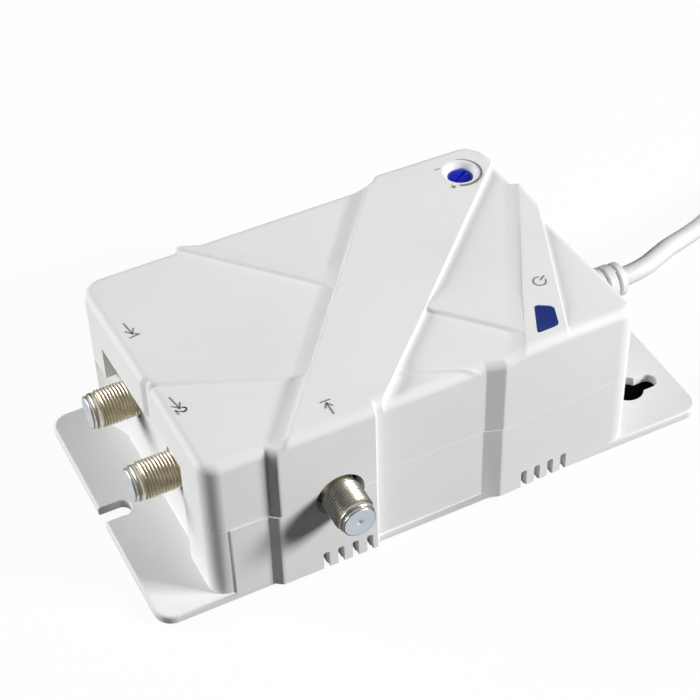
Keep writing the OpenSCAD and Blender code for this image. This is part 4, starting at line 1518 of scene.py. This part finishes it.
@dataclass
class Socket:
    """A threaded coaxial socket. Its own axis runs along +Z from the screening box to its tip."""

    name: str
    node: str
    root: Point
    facing: Facing
    finish: Finish
    thread: float = 4.68
    pitch: float = 0.794
    depth: float = 0.42
    thread_start: float = 4.4
    thread_end: float = 13.45
    run_out: float = 0.4
    insulator: float = 3.57
    flange: Plan = (6.3, 1.8)
    flange_hole: float = 4.0
    sides: int = 64

    def placed(self, obj: Solid) -> Solid:
        """Turns a part of the socket to its place."""
        turn = Matrix.Rotation(*self.facing.value)
        return Bench.move(obj, Matrix.Translation(self.root) @ turn)

    def body(self) -> Solid:
        """Makes the metal body: spigot, barrel, helical thread and stepped nose.

        Returns:
            The body, in metres and in place.
        """
        start, end = self.thread_start, self.thread_end
        outer: list[Plan] = [
            (4.46, -2.5), (4.46, 0.0), (4.56, 0.01), (4.56, start - 0.3), (4.36, start - 0.05),
        ]
        rings = int((end - start) / self.pitch * 10)
        for index in range(rings + 1):
            outer.append((self.thread - 0.2, start + (end - start) * index / rings))
        outer += [
            (4.1, 13.52), (4.02, 13.58), (4.02, 13.72), (4.1, 13.78), (4.32, 13.84), (4.4, 13.96),
            (4.4, 14.66), (4.32, 14.84), (4.12, 14.98), (3.98, 15.04), (3.94, 15.14), (4.0, 15.26),
            (4.06, 15.4), (4.06, 15.76), (4.0, 15.92), (3.94, 15.98), (3.86, 15.98), (3.84, 15.9),
            (3.84, 15.62), (3.6, 15.5), (3.6, -2.5),
        ]
        obj = Bench.turned(self.name, [*outer, outer[0]], self.sides, closed=True)
        for vertex in obj.data.vertices:
            z = vertex.co.z
            radius = math.hypot(vertex.co.x, vertex.co.y)
            if not (start - 0.001 < z < end + 0.001 and radius > 4.2):
                continue
            turn = z / self.pitch - math.atan2(vertex.co.y, vertex.co.x) / (2 * math.pi)
            wave = 0.5 + 0.5 * math.cos(2 * math.pi * turn)
            edge = min(1.0, (z - start) / self.run_out, (end - z) / self.run_out)
            target = self.thread - self.depth * (1 - wave * max(0.0, edge)) - 0.02
            vertex.co.x *= target / radius
            vertex.co.y *= target / radius
        radius, height = self.flange
        flange = Bench.turned("flange", [(radius, 0.0), (radius, height)], 6)
        Bench.bevel(flange, Bench.sharp(), 0.15, 2)
        Bench.bore(flange, -1, height + 1.2, self.flange_hole, Axis.Z, (0, 0, 0))
        return Bench.settle(self.placed(Bench.join([obj, flange], self.name)), 42)

    def core(self) -> Solid:
        """Makes the pale insulator with its small contact hole.

        Returns:
            The insulator, in metres and in place.
        """
        side = self.insulator
        profile = [
            (side, -2.5), (side, 15.5), (3.83, 15.64), (3.83, 15.97), (3.76, 16.03), (1.2, 16.0),
            (0.5, 15.96), (0.34, 15.86), (0.3, 15.6), (0.3, 9.6), (1.23, 9.4), (1.23, -2.5),
            (side, -2.5),
        ]
        obj = Bench.turned(self.name + "_core", profile, 48, closed=True)
        return Bench.settle(self.placed(obj), 35)

    def build(self) -> None:
        """Builds the socket and lays it over its nodes."""
        dress(self.body(), self.finish, [f"{self.node}_shell"])
        dress(self.core(), Finish.INSULATOR, [f"{self.node}_insulator"])
        finish_node(f"{self.node}_contact", Finish.CONTACT)


@dataclass
class Dial:
    """The blue gain dial with its screwdriver slot."""

    radius: float = 3.12
    top: float = 44.9
    slot_turn: float = 32.0
    slot_reach: float = 2.4
    slot_half: float = 0.28
    slot_depth: float = 0.5
    slot_round: float = 0.12

    def build(self) -> None:
        """Builds the dial on its spindle."""
        r, top = self.radius, self.top
        profile = [
            (1.5, 15.0), (1.5, top - 1.7), (r - 0.25, top - 1.7), (r, top - 1.5), (r, top - 0.5),
            (r - 0.06, top - 0.3), (r - 0.2, top - 0.12), (r - 0.42, top - 0.03), (r - 0.6, top),
        ]
        obj = Bench.turned("dial", profile, 64)
        reach, half = self.slot_reach, self.slot_half
        slot = Bench.block("slot", (-reach, -half, top - self.slot_depth), (reach, half, top + 1))
        Bench.cut(obj, Bench.move(slot, Matrix.Rotation(math.radians(self.slot_turn), 4, "Z")))
        Bench.bevel(
            obj,
            lambda e: all(
                abs(v.co.z - top) < 0.02 and math.hypot(v.co.x, v.co.y) < r - 0.59 for v in e.verts
            )
            and e.calc_face_angle(0) > 1,
            self.slot_round,
            2,
        )
        Bench.move(obj, Matrix.Translation((*DIAL_PLACE, 0)))
        dress(Bench.settle(obj), Finish.DIAL, ["gain_knob"], DIAL_BODY)


@dataclass
class Lens:
    """The dark blue window of the power light with its light guide."""

    low: float = 41.0
    top: float = 46.02
    guide: Plan = (28.9, -29.2)
    guide_low: float = 20.3
    guide_radius: float = 1.5
    corner: float = 0.8
    edge: float = 0.3

    def build(self) -> None:
        """Builds the window."""
        obj = Bench.prism("window_lens", WINDOW, self.low, self.top)
        Bench.bevel(obj, Bench.along(Axis.Z), self.corner, 5)
        Bench.bevel(obj, Bench.rim(self.top), self.edge, 3)
        place = (*self.guide, 0)
        stem = rod("stem", self.guide_low, self.low + 0.2, self.guide_radius, Axis.Z, place)
        lens = Bench.settle(Bench.join([obj, stem], "window_lens"))
        dress(lens, Finish.LENS, ["power_lens"])


@dataclass
class StrainRelief:
    """Ribbed bush that grips the lead; bridges between its ribs stand turn about."""

    ribs: int = 4
    first: float = 52.6
    step: float = 3.1
    taper: float = 0.12
    bridge_half: float = 1.1

    def build(self) -> None:
        """Builds the bush."""
        profile: list[Plan] = [
            (3.4, 43.4), (3.4, 44.45), (5.3, 44.5), (5.4, 44.7), (5.4, 45.9), (5.3, 46.05),
            (4.2, 46.1), (4.2, 48.55), (5.45, 48.56), (5.6, 48.75), (5.6, 50.3), (5.4, 50.55),
            (4.95, 50.7), (4.95, 51.4), (4.85, 51.5), (3.4, 51.55),
        ]
        for index in range(self.ribs):
            x = self.first + index * self.step
            radius = 4.9 - self.taper * index
            width = self.step * 0.74
            profile += [
                (3.4, x), (radius - 0.15, x + 0.02), (radius, x + 0.2), (radius, x + width - 0.2),
                (radius - 0.15, x + width - 0.02), (3.4, x + width),
            ]
        profile += [
            (3.4, 64.95), (4.25, 65.0), (4.4, 65.2), (4.36, 66.5), (4.1, 66.85), (3.5, 67.0),
            (2.55, 66.95), (2.55, 65.0), (1.6, 64.8), (1.6, 43.4), (3.4, 43.4),
        ]
        parts = [Bench.turned("bush", profile, 48, closed=True)]
        for index in range(self.ribs + 1):
            x = self.first - 1.2 + index * self.step
            long, short = 4.5 - self.taper * index, self.bridge_half
            a, b = (long, short) if index % 2 == 0 else (short, long)
            parts.append(Bench.block("bridge", (-a, -b, x), (a, b, x + 1.6)))
        obj = Bench.join(parts, "bush")
        Bench.move(obj, Matrix.Translation((0, CORD_Y, SOCKET_Z)) @ Axis.X.turn())
        dress(Bench.settle(obj), Finish.CORD, ["strain_relief"])


@dataclass
class Lead:
    """The mains lead: free part, put-away coil, tail, tie and plug."""

    diameter: float = 5.0
    start: Point = (67.0, -5.5, 23.5)
    route: tuple[Point, ...] = (
        (69, -5.5, 23.5), (72.5, -5.1, 23.5), (76, -4, 23.1), (79.5, -2.2, 22.3),
        (86, 1.8, 19.9), (93, 6.2, 16.4), (100, 10.8, 12.6), (108, 16, 8.9),
        (116, 21.3, 6.2), (124, 26.2, 4.6), (132, 29.8, 3.8), (139, 31.7, 3.6),
        (145, 31.8, 3.6), (152, 31.8, 3.6), (159, 31.8, 3.6),
    )
    coil: Plan = (164.0, -6.0)
    coil_z: float = 3.6
    pitch: float = 5.5
    turns: float = 7.5
    inner: float = 17.1875
    outer: float = 37.8125
    rings: int = 48
    tail_run: float = 18.0
    tail_shift: float = 5.0
    tail_drop: float = 1.6
    tail_steps: tuple[Plan, ...] = (
        (0, 0), (0.14, 0), (0.33, 0.18), (0.5, 0.5), (0.67, 0.82), (0.86, 1), (1, 1),
    )
    plug_back: Point = (141.0, -48.8125, 7.5)
    pin_half: float = 9.3

    def coil_point(self, index: int) -> Point:
        """A point of the coil, which spirals in, climbs one layer and spirals out.

        Args:
            index: its number along the coil.

        Returns:
            The point.
        """
        steps = int(self.turns * self.rings)
        angle = math.radians(90 - 360 * index / self.rings)
        radius = self.inner + (self.outer - self.inner) * abs(1 - 2 * index / steps)
        t = max(0.0, min(1.0, (index - steps / 2) / (self.rings / 2) + 0.5))
        rise = self.pitch * t * t * (3 - 2 * t)
        return (
            self.coil[0] + radius * math.cos(angle),
            self.coil[1] + radius * math.sin(angle),
            self.coil_z + rise,
        )

    def path(self) -> list[Point]:
        """The lead's centre line from the strain relief to the plug.

        Returns:
            The points in order.
        """
        steps = int(self.turns * self.rings)
        tail_x, tail_y = self.coil[0] - self.diameter, self.coil[1] - self.outer
        tail_z = self.coil_z + self.pitch
        tail = [
            (tail_x - self.tail_run * t, tail_y - self.tail_shift * s, tail_z - self.tail_drop * s)
            for t, s in self.tail_steps
        ]
        free = smooth_path([self.start, *self.route], 4)
        end = smooth_path(tail, 3)
        return [*free, *(self.coil_point(i) for i in range(steps + 1)), *end]

    def build_lead(self) -> tuple[Solid, list[Point], float]:
        """Builds the lead's jacket along its centre line.

        Returns:
            The jacket, its centre line and its length, in millimetres.
        """
        points = self.path()
        length = sum((Vector(a) - Vector(b)).length for a, b in zip(points, points[1:]))
        return sweep("mains_lead", points, self.diameter / 2 - 0.02, 20), points, length

    def build_tie(self) -> Solid:
        """Builds the tie that holds the coil's turns together.

        Returns:
            The tie, in metres and in place.
        """
        top = self.coil_z + self.pitch + self.diameter / 2 + 0.3
        r0, r1 = self.inner - 2.8, self.outer + 2.8
        obj = Bench.block("tie", (r0 - 0.8, -2.5, 0.02), (r1 + 0.8, 2.5, top + 0.8))
        Bench.bevel(obj, Bench.along(Axis.Y), 0.7, 4)
        hole = Bench.block("hole", (r0, -4, 0.8), (r1, 4, top))
        Bench.bevel(hole, Bench.along(Axis.Y), 0.3, 3)
        Bench.cut(obj, hole)
        turn = Matrix.Rotation(math.radians(-30), 4, "Z")
        return Bench.settle(Bench.move(obj, Matrix.Translation((*self.coil, 0)) @ turn))

    def build_plug(self) -> tuple[Solid, Solid]:
        """Builds the two-pin plug body and its pins.

        Returns:
            The body and the pins, in metres and in place.
        """
        x, y, z = self.plug_back
        body = Bench.block("plug_moulding", (x - 34, y - 13, z - 6.9), (x - 11, y + 13, z + 6.9))
        Bench.bevel(body, Bench.along(Axis.X), 4, 6)
        Bench.bevel(body, Bench.sharp(50), 0.9, 4)
        for index in range(4):
            rib = x - 20 - index * 2.6
            groove = Bench.block("groove", (rib - 0.5, y - 8, z + 6.4), (rib + 0.5, y + 8, z + 8))
            Bench.cut(body, groove)
        neck = Bench.turned(
            "neck",
            [(2.6, -0.2), (4.7, 0.0), (5.0, 0.4), (5.0, 8.2), (5.3, 8.9), (6.6, 13.4), (6.7, 14.5)],
            40,
        )
        back = Matrix.Rotation(-math.pi / 2, 4, "Y")
        Bench.move(neck, Matrix.Translation((x, y, z)) @ back)
        body = Bench.join([body, neck], "plug_moulding")
        pins = []
        for side in (-self.pin_half, self.pin_half):
            pin = Bench.turned("pin", [(2.0, 26.1), (2.0, 51.6), (1.85, 52.4), (1.2, 53.0)], 32)
            pins.append(Bench.move(pin, Matrix.Translation((x, y + side, z)) @ back))
        return Bench.settle(body), Bench.settle(Bench.join(pins, "plug_prongs"))

    def build(self) -> None:
        """Builds the lead with all that is on it."""
        lead, points, length = self.build_lead()
        dress(lead, Finish.CORD, ["power_cord", "power_cord_coil", "power_cord_tail"])
        tie = dress(self.build_tie(), Finish.TIE, ["coil_tie"])
        body, pins = self.build_plug()
        dress(body, Finish.PLUG, ["plug_body"])
        dress(pins, Finish.PIN_PLATE, ["plug_pins"])
        length * MM
        [[c * MM for c in point] for point in points]


def smooth_path(points: Sequence[Point], parts: int) -> list[Point]:
    """Rounds a listed route with a spline through its points.

    Args:
        points: the route.
        parts: steps between neighbouring points.

    Returns:
        The finer route.
    """
    line = [Vector(p) for p in points]
    line = [2 * line[0] - line[1], *line, 2 * line[-1] - line[-2]]
    fine: list[Point] = []
    for a, b, c, d in zip(line, line[1:], line[2:], line[3:]):
        for index in range(parts):
            t = index / parts
            turn = (2 * a - 5 * b + 4 * c - d) * t * t
            place = 2 * b + (c - a) * t + turn + (3 * b - a - 3 * c + d) * t**3
            fine.append(tuple(0.5 * place))
    fine.append(tuple(line[-2]))
    return fine


def sweep(name: str, points: Sequence[Point], radius: float, sides: int) -> Solid:
    """Makes a round cable along a centre line, extruding ring after ring.

    Args:
        name: the object's name.
        points: the centre line in millimetres.
        radius: the cable's radius.
        sides: faces round it.

    Returns:
        The cable in metres.
    """
    line = [Vector(p) for p in points]
    cable = bmesh.new()
    previous: list[bmesh.types.BMVert] = []
    for index, place in enumerate(line):
        ahead = line[min(index + 1, len(line) - 1)] - line[max(index - 1, 0)]
        side = ahead.cross(Vector((0, 0, 1))).normalized()
        up = side.cross(ahead).normalized()
        ring = [
            cable.verts.new(place + radius * (math.cos(a) * side + math.sin(a) * up))
            for a in (2 * math.pi * k / sides for k in range(sides))
        ]
        if previous:
            for k in range(sides):
                after = (k + 1) % sides
                cable.faces.new((previous[k], previous[after], ring[after], ring[k]))
        else:
            cable.faces.new(ring)
        previous = ring
    cable.faces.new(previous)
    mesh = bpy.data.meshes.new(name)
    cable.to_mesh(mesh)
    cable.free()
    obj = bpy.data.objects.new(name, mesh)
    bpy.context.scene.collection.objects.link(obj)
    return Bench.settle(obj, 40)


@dataclass
class Print:
    """Plain printed marks: generic symbols and numbers on the case top."""

    form: CaseShell
    lift: float = 0.03
    thickness: float = 0.03
    pen: float = 0.34
    sign_pen: float = 0.24
    sign_half: float = 0.6
    sign_radius: float = 6.0
    digit_height: float = 2.3

    def bar(self, start: Plan, end: Plan, pen: float | None = None) -> list[Plan]:
        """Outline of one straight stroke.

        Args:
            start: its start.
            end: its end.
            pen: its width, the plain pen if none is given.

        Returns:
            The four corners.
        """
        half = (pen or self.pen) / 2
        dx, dy = end[0] - start[0], end[1] - start[1]
        size = math.hypot(dx, dy)
        nx, ny = -dy / size * half, dx / size * half
        ex, ey = dx / size * half, dy / size * half
        return [
            (start[0] - ex + nx, start[1] - ey + ny), (start[0] - ex - nx, start[1] - ey - ny),
            (end[0] + ex - nx, end[1] + ey - ny), (end[0] + ex + nx, end[1] + ey + ny),
        ]

    def mark(self, name: str, strokes: Sequence[Sequence[Plan]], spot: Plan, turn: float) -> None:
        """Makes one printed mark from stroke outlines.

        Args:
            name: the piece's name.
            strokes: outlines about the mark's own centre.
            spot: plan place of its centre, on the case top.
            turn: its heading in degrees.
        """
        parts = [Bench.prism(name, stroke, 0, self.thickness) for stroke in strokes]
        obj = Bench.join(parts, name)
        height = self.form.top + self.form.rise(*spot) + self.lift
        heading = Matrix.Rotation(math.radians(turn), 4, "Z")
        Bench.move(obj, Matrix.Translation((*spot, height)) @ heading)
        dress(Bench.settle(obj), Finish.INK)

    def arrow(self, size: float, inward: bool) -> list[list[Plan]]:
        """Strokes of an arrow along +X.

        Args:
            size: its length.
            inward: it points at a bar.

        Returns:
            The outlines.
        """
        tip = size / 2
        back = tip - size * 0.36
        lines = [
            self.bar((-size / 2, 0), (tip, 0)),
            self.bar((tip, 0), (back, size * 0.24)),
            self.bar((tip, 0), (back, -size * 0.24)),
        ]
        if inward:
            lines.append(self.bar((tip + 0.7, -size * 0.3), (tip + 0.7, size * 0.3)))
        return lines

    def digit(self, value: int, offset: float) -> list[list[Plan]]:
        """Strokes of the number 1 or 2, standing along +X at an offset.

        Args:
            value: 1 or 2.
            offset: its place along +X.

        Returns:
            The outlines.
        """
        w, h = self.digit_height * 0.55, self.digit_height
        if value == 1:
            line = [(0.15 * w, 0.72 * h), (0.6 * w, h), (0.6 * w, 0)]
        else:
            bow = arc((0.5 * w, 0.7 * h), 0.3 * h, 165, -40, 9)
            line = [*bow, (0.0, 0.0), (w, 0.0)]
        moved = [(offset + x, y - h / 2) for x, y in line]
        return [self.bar(a, b) for a, b in zip(moved, moved[1:])]

    def ring_sector(self, radius: float, pens: Plan, start: float, end: float) -> list[list[Plan]]:
        """Outline of an arc that widens from one pen width to another.

        Args:
            radius: its middle radius.
            pens: its width at both ends.
            start: where it starts, in degrees.
            end: where it ends, in degrees.

        Returns:
            The outlines.
        """
        count = 41
        outer, inner = [], []
        for index in range(count):
            share = index / (count - 1)
            half = (pens[0] + (pens[1] - pens[0]) * share) / 2
            angle = math.radians(start + (end - start) * share)
            outer.append(((radius + half) * math.cos(angle), (radius + half) * math.sin(angle)))
            inner.append(((radius - half) * math.cos(angle), (radius - half) * math.sin(angle)))
        return [[outer[i], outer[i + 1], inner[i + 1], inner[i]] for i in range(count - 1)]

    def build(self) -> None:
        """Prints every mark on the case."""
        x, y = DIAL_PLACE[0], DIAL_PLACE[1] - 0.3
        self.mark("dial_scale", self.ring_sector(5.15, (0.12, 0.75), 116, -120), (x, y), 0)
        half, pen = self.sign_half, self.sign_pen
        minus, upright = self.bar((-half, 0), (half, 0), pen), self.bar((0, -half), (0, half), pen)
        ends = (("dial_low", 142, [minus]), ("dial_high", -136, [minus, upright]))
        for name, angle, signs in ends:
            a = math.radians(angle)
            spot = (x + self.sign_radius * math.cos(a), y + self.sign_radius * math.sin(a))
            self.mark(name, signs, spot, 0)
        for number, spot, turn in ((1, (-56.2, 12.9), -82), (2, (-55.9, -13.6), -80)):
            strokes = [*self.digit(number, 2.2), *self.arrow(4.2, False)]
            self.mark(f"output_mark_{number}", strokes, spot, turn)
        self.mark("input_mark", self.arrow(3.6, True), (-27.1, -32.9), 90)
        standby = self.ring_sector(1.5, (self.pen, self.pen), 60, -240)
        standby.append(self.bar((0, 0.5), (0, 2.1)))
        self.mark("power_mark", standby, (34.6, -18.4), -58)


def finish_inside() -> None:
    """Gives every carried-over inner node its finish."""
    finishes = {
        "case_screws": Finish.SCREW, "board_screws": Finish.SCREW,
        "circuit_board": Finish.BOARD, "shield_frame": Finish.TIN, "shield_lid": Finish.TIN,
        "gain_potentiometer": Finish.TRIMMER, "splitter_core": Finish.FERRITE,
        "amplifier_transistors": Finish.CHIP, "chip_capacitors": Finish.CERAMIC,
        "power_led": Finish.TRIMMER, "transformer_core": Finish.IRON,
        "transformer_bobbin": Finish.INSULATOR, "transformer_winding": Finish.WINDING,
        "fuse": Finish.FUSE, "fuse_clips": Finish.TIN, "rectifier_diodes": Finish.CHIP,
        "smoothing_capacitor": Finish.SLEEVE, "voltage_regulator": Finish.CHIP,
        "heat_sink": Finish.SINK, "terminal_block": Finish.TERMINAL, "mains_wires": Finish.WIRE,
    }
    for node, finish in finishes.items():
        finish_node(node, finish)


@dataclass(frozen=True)
class Lamp:
    """A soft rectangular studio lamp, aimed from a direction."""

    name: str
    towards: Point
    distance: float
    size: Plan
    power: float
    target: Point = (0.0, 0.0, 0.02)

    def place(self) -> None:
        """Sets the lamp up."""
        data = bpy.data.lights.new(self.name, "AREA")
        data.shape = "RECTANGLE"
        data.size, data.size_y = self.size
        data.energy = self.power
        lamp = bpy.data.objects.new(self.name, data)
        bpy.context.scene.collection.objects.link(lamp)
        direction = Vector(self.towards).normalized()
        lamp.location = Vector(self.target) + direction * self.distance
        lamp.rotation_euler = direction.to_track_quat("Z", "Y").to_euler()


@dataclass
class Studio:
    """Floor, world, lamps and camera."""

    lamps: tuple[Lamp, ...] = (
        Lamp("overhead", (0.1, 0.1, 1.0), 0.9, (0.9, 0.9), 0.9),
        Lamp("front_right", (0.8, -0.6, 0.47), 1.3, (0.42, 0.34), 22.5),
        Lamp("back_left", (-0.88, 0.52, 0.32), 1.3, (0.95, 0.7), 19.0),
    )
    mirrored: float = 0.16
    floor_seen: float = 0.93
    floor_drop: float = 0.0002
    # corners of the near-black sheet of painted shade under the keyholes
    shade_card_low: Point = (52.0, -33.0, -0.15)
    shade_card_high: Point = (70.0, 33.0, -0.05)
    camera_place: Point = (-0.14707, -0.29647, 0.33824)
    camera_turn: Point = (0.808, 0.025, -0.466)
    lens: float = 97.0
    shift: Plan = (0.0027, 0.009)

    def floor_material(self) -> bpy.types.Material:
        """Floor that is white to the camera with a trace of shadow, and dark to other rays.

        Returns:
            The material.
        """
        recipe = Recipe("floor_paper")
        path = recipe.node("ShaderNodeLightPath")
        seen = Wire(recipe.tree, path.outputs["Is Camera Ray"])
        recipe.set(
            Base_Color=recipe.blend(seen, (0.12, 0.12, 0.12), (0.92, 0.92, 0.92)), Roughness=0.9
        )
        glow = recipe.node("ShaderNodeEmission", inputs={"Color": (1, 1, 1, 1), "Strength": 1.0})
        seen = seen.most(Wire(recipe.tree, path.outputs["Is Transmission Ray"]))
        share = seen * self.floor_seen
        inputs = {"Fac": share, 1: recipe.surface.outputs[0], 2: glow.outputs[0]}
        mix = recipe.node("ShaderNodeMixShader", inputs=inputs)
        recipe.tree.links.new(mix.outputs[0], recipe.output.inputs["Surface"])
        return recipe.material

    def floor(self) -> None:
        """Lays the floor, and a near-black sheet of painted shade under the flange that shows
        through the keyholes.
        """
        Bench.clear()
        bpy.ops.mesh.primitive_plane_add(size=8, location=(0, 0, -self.floor_drop))
        sheet = bpy.context.object
        sheet.name = "studio_floor"
        sheet.data.materials.append(self.floor_material())
        # painted shade: a near-black sheet under the flange, seen only through the keyholes
        shade_card = Bench.block("keyhole_shade_card", self.shade_card_low, self.shade_card_high)
        shade_card.data.transform(Matrix.Diagonal((MM, MM, MM, 1)))
        shade_card.data.materials.append(Finish.CARD.material())

    def world(self) -> None:
        """Sets a world that is white to the camera, dim in reflections and gives no other light."""
        world = bpy.data.worlds.new("studio")
        bpy.context.scene.world = world
        world.use_nodes = True
        tree = world.node_tree
        tree.nodes.clear()
        path = tree.nodes.new("ShaderNodeLightPath")
        seen = Wire(tree, path.outputs["Is Camera Ray"])
        seen = seen.most(Wire(tree, path.outputs["Is Transmission Ray"]))
        strength = seen.most(Wire(tree, path.outputs["Is Glossy Ray"]) * self.mirrored)
        back = tree.nodes.new("ShaderNodeBackground")
        back.inputs["Color"].default_value = (1, 1, 1, 1)
        tree.links.new(strength.socket, back.inputs["Strength"])
        out = tree.nodes.new("ShaderNodeOutputWorld")
        tree.links.new(back.outputs[0], out.inputs[0])

    def camera(self) -> None:
        """Sets the camera up."""
        data = bpy.data.cameras.new("camera")
        data.lens = self.lens
        data.sensor_width = 36
        data.sensor_fit = "HORIZONTAL"
        data.shift_x, data.shift_y = self.shift
        data.clip_start = 0.01
        camera = bpy.data.objects.new("camera", data)
        bpy.context.scene.collection.objects.link(camera)
        camera.location = self.camera_place
        camera.rotation_euler = Euler(self.camera_turn, "XYZ")
        bpy.context.scene.camera = camera

    def build(self) -> None:
        """Sets the whole studio up."""
        self.camera()
        self.floor()
        self.world()
        for lamp in self.lamps:
            lamp.place()
        bpy.context.scene.view_settings.view_transform = "Standard"


def save_sizes() -> None:
    """Updates the view layer after the build.
    """
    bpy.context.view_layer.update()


def main() -> None:
    """Builds the amplifier's looks and its studio."""
    logging.basicConfig(level=logging.INFO, format="%(name)s: %(message)s")
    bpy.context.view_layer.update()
    Studio().build()
    Lead().build()
    form = CaseShell()
    shells = Shells(form)
    dress(shells.upper(), Finish.CASE, ["upper_case"])
    dress(shells.lower(), Finish.CASE, ["lower_case"])
    Socket(
        "input_body", "input_connector", (INPUT_X, INPUT_ROOT, SOCKET_Z), Facing.FRONT,
        Finish.INPUT_PLATE, thread=4.92, thread_start=6.5,
    ).build()
    plates = (Finish.OUTPUT_1_PLATE, Finish.OUTPUT_2_PLATE)
    for number, y, plate in zip((1, 2), OUTPUT_Y, plates):
        root = (OUTPUT_ROOT, y, SOCKET_Z)
        Socket(f"output_body_{number}", f"output_{number}", root, Facing.LEFT, plate).build()
    Dial().build()
    Lens().build()
    StrainRelief().build()
    Print(form).build()
    finish_inside()
    save_sizes()


if __name__ == "__main__":
    main()
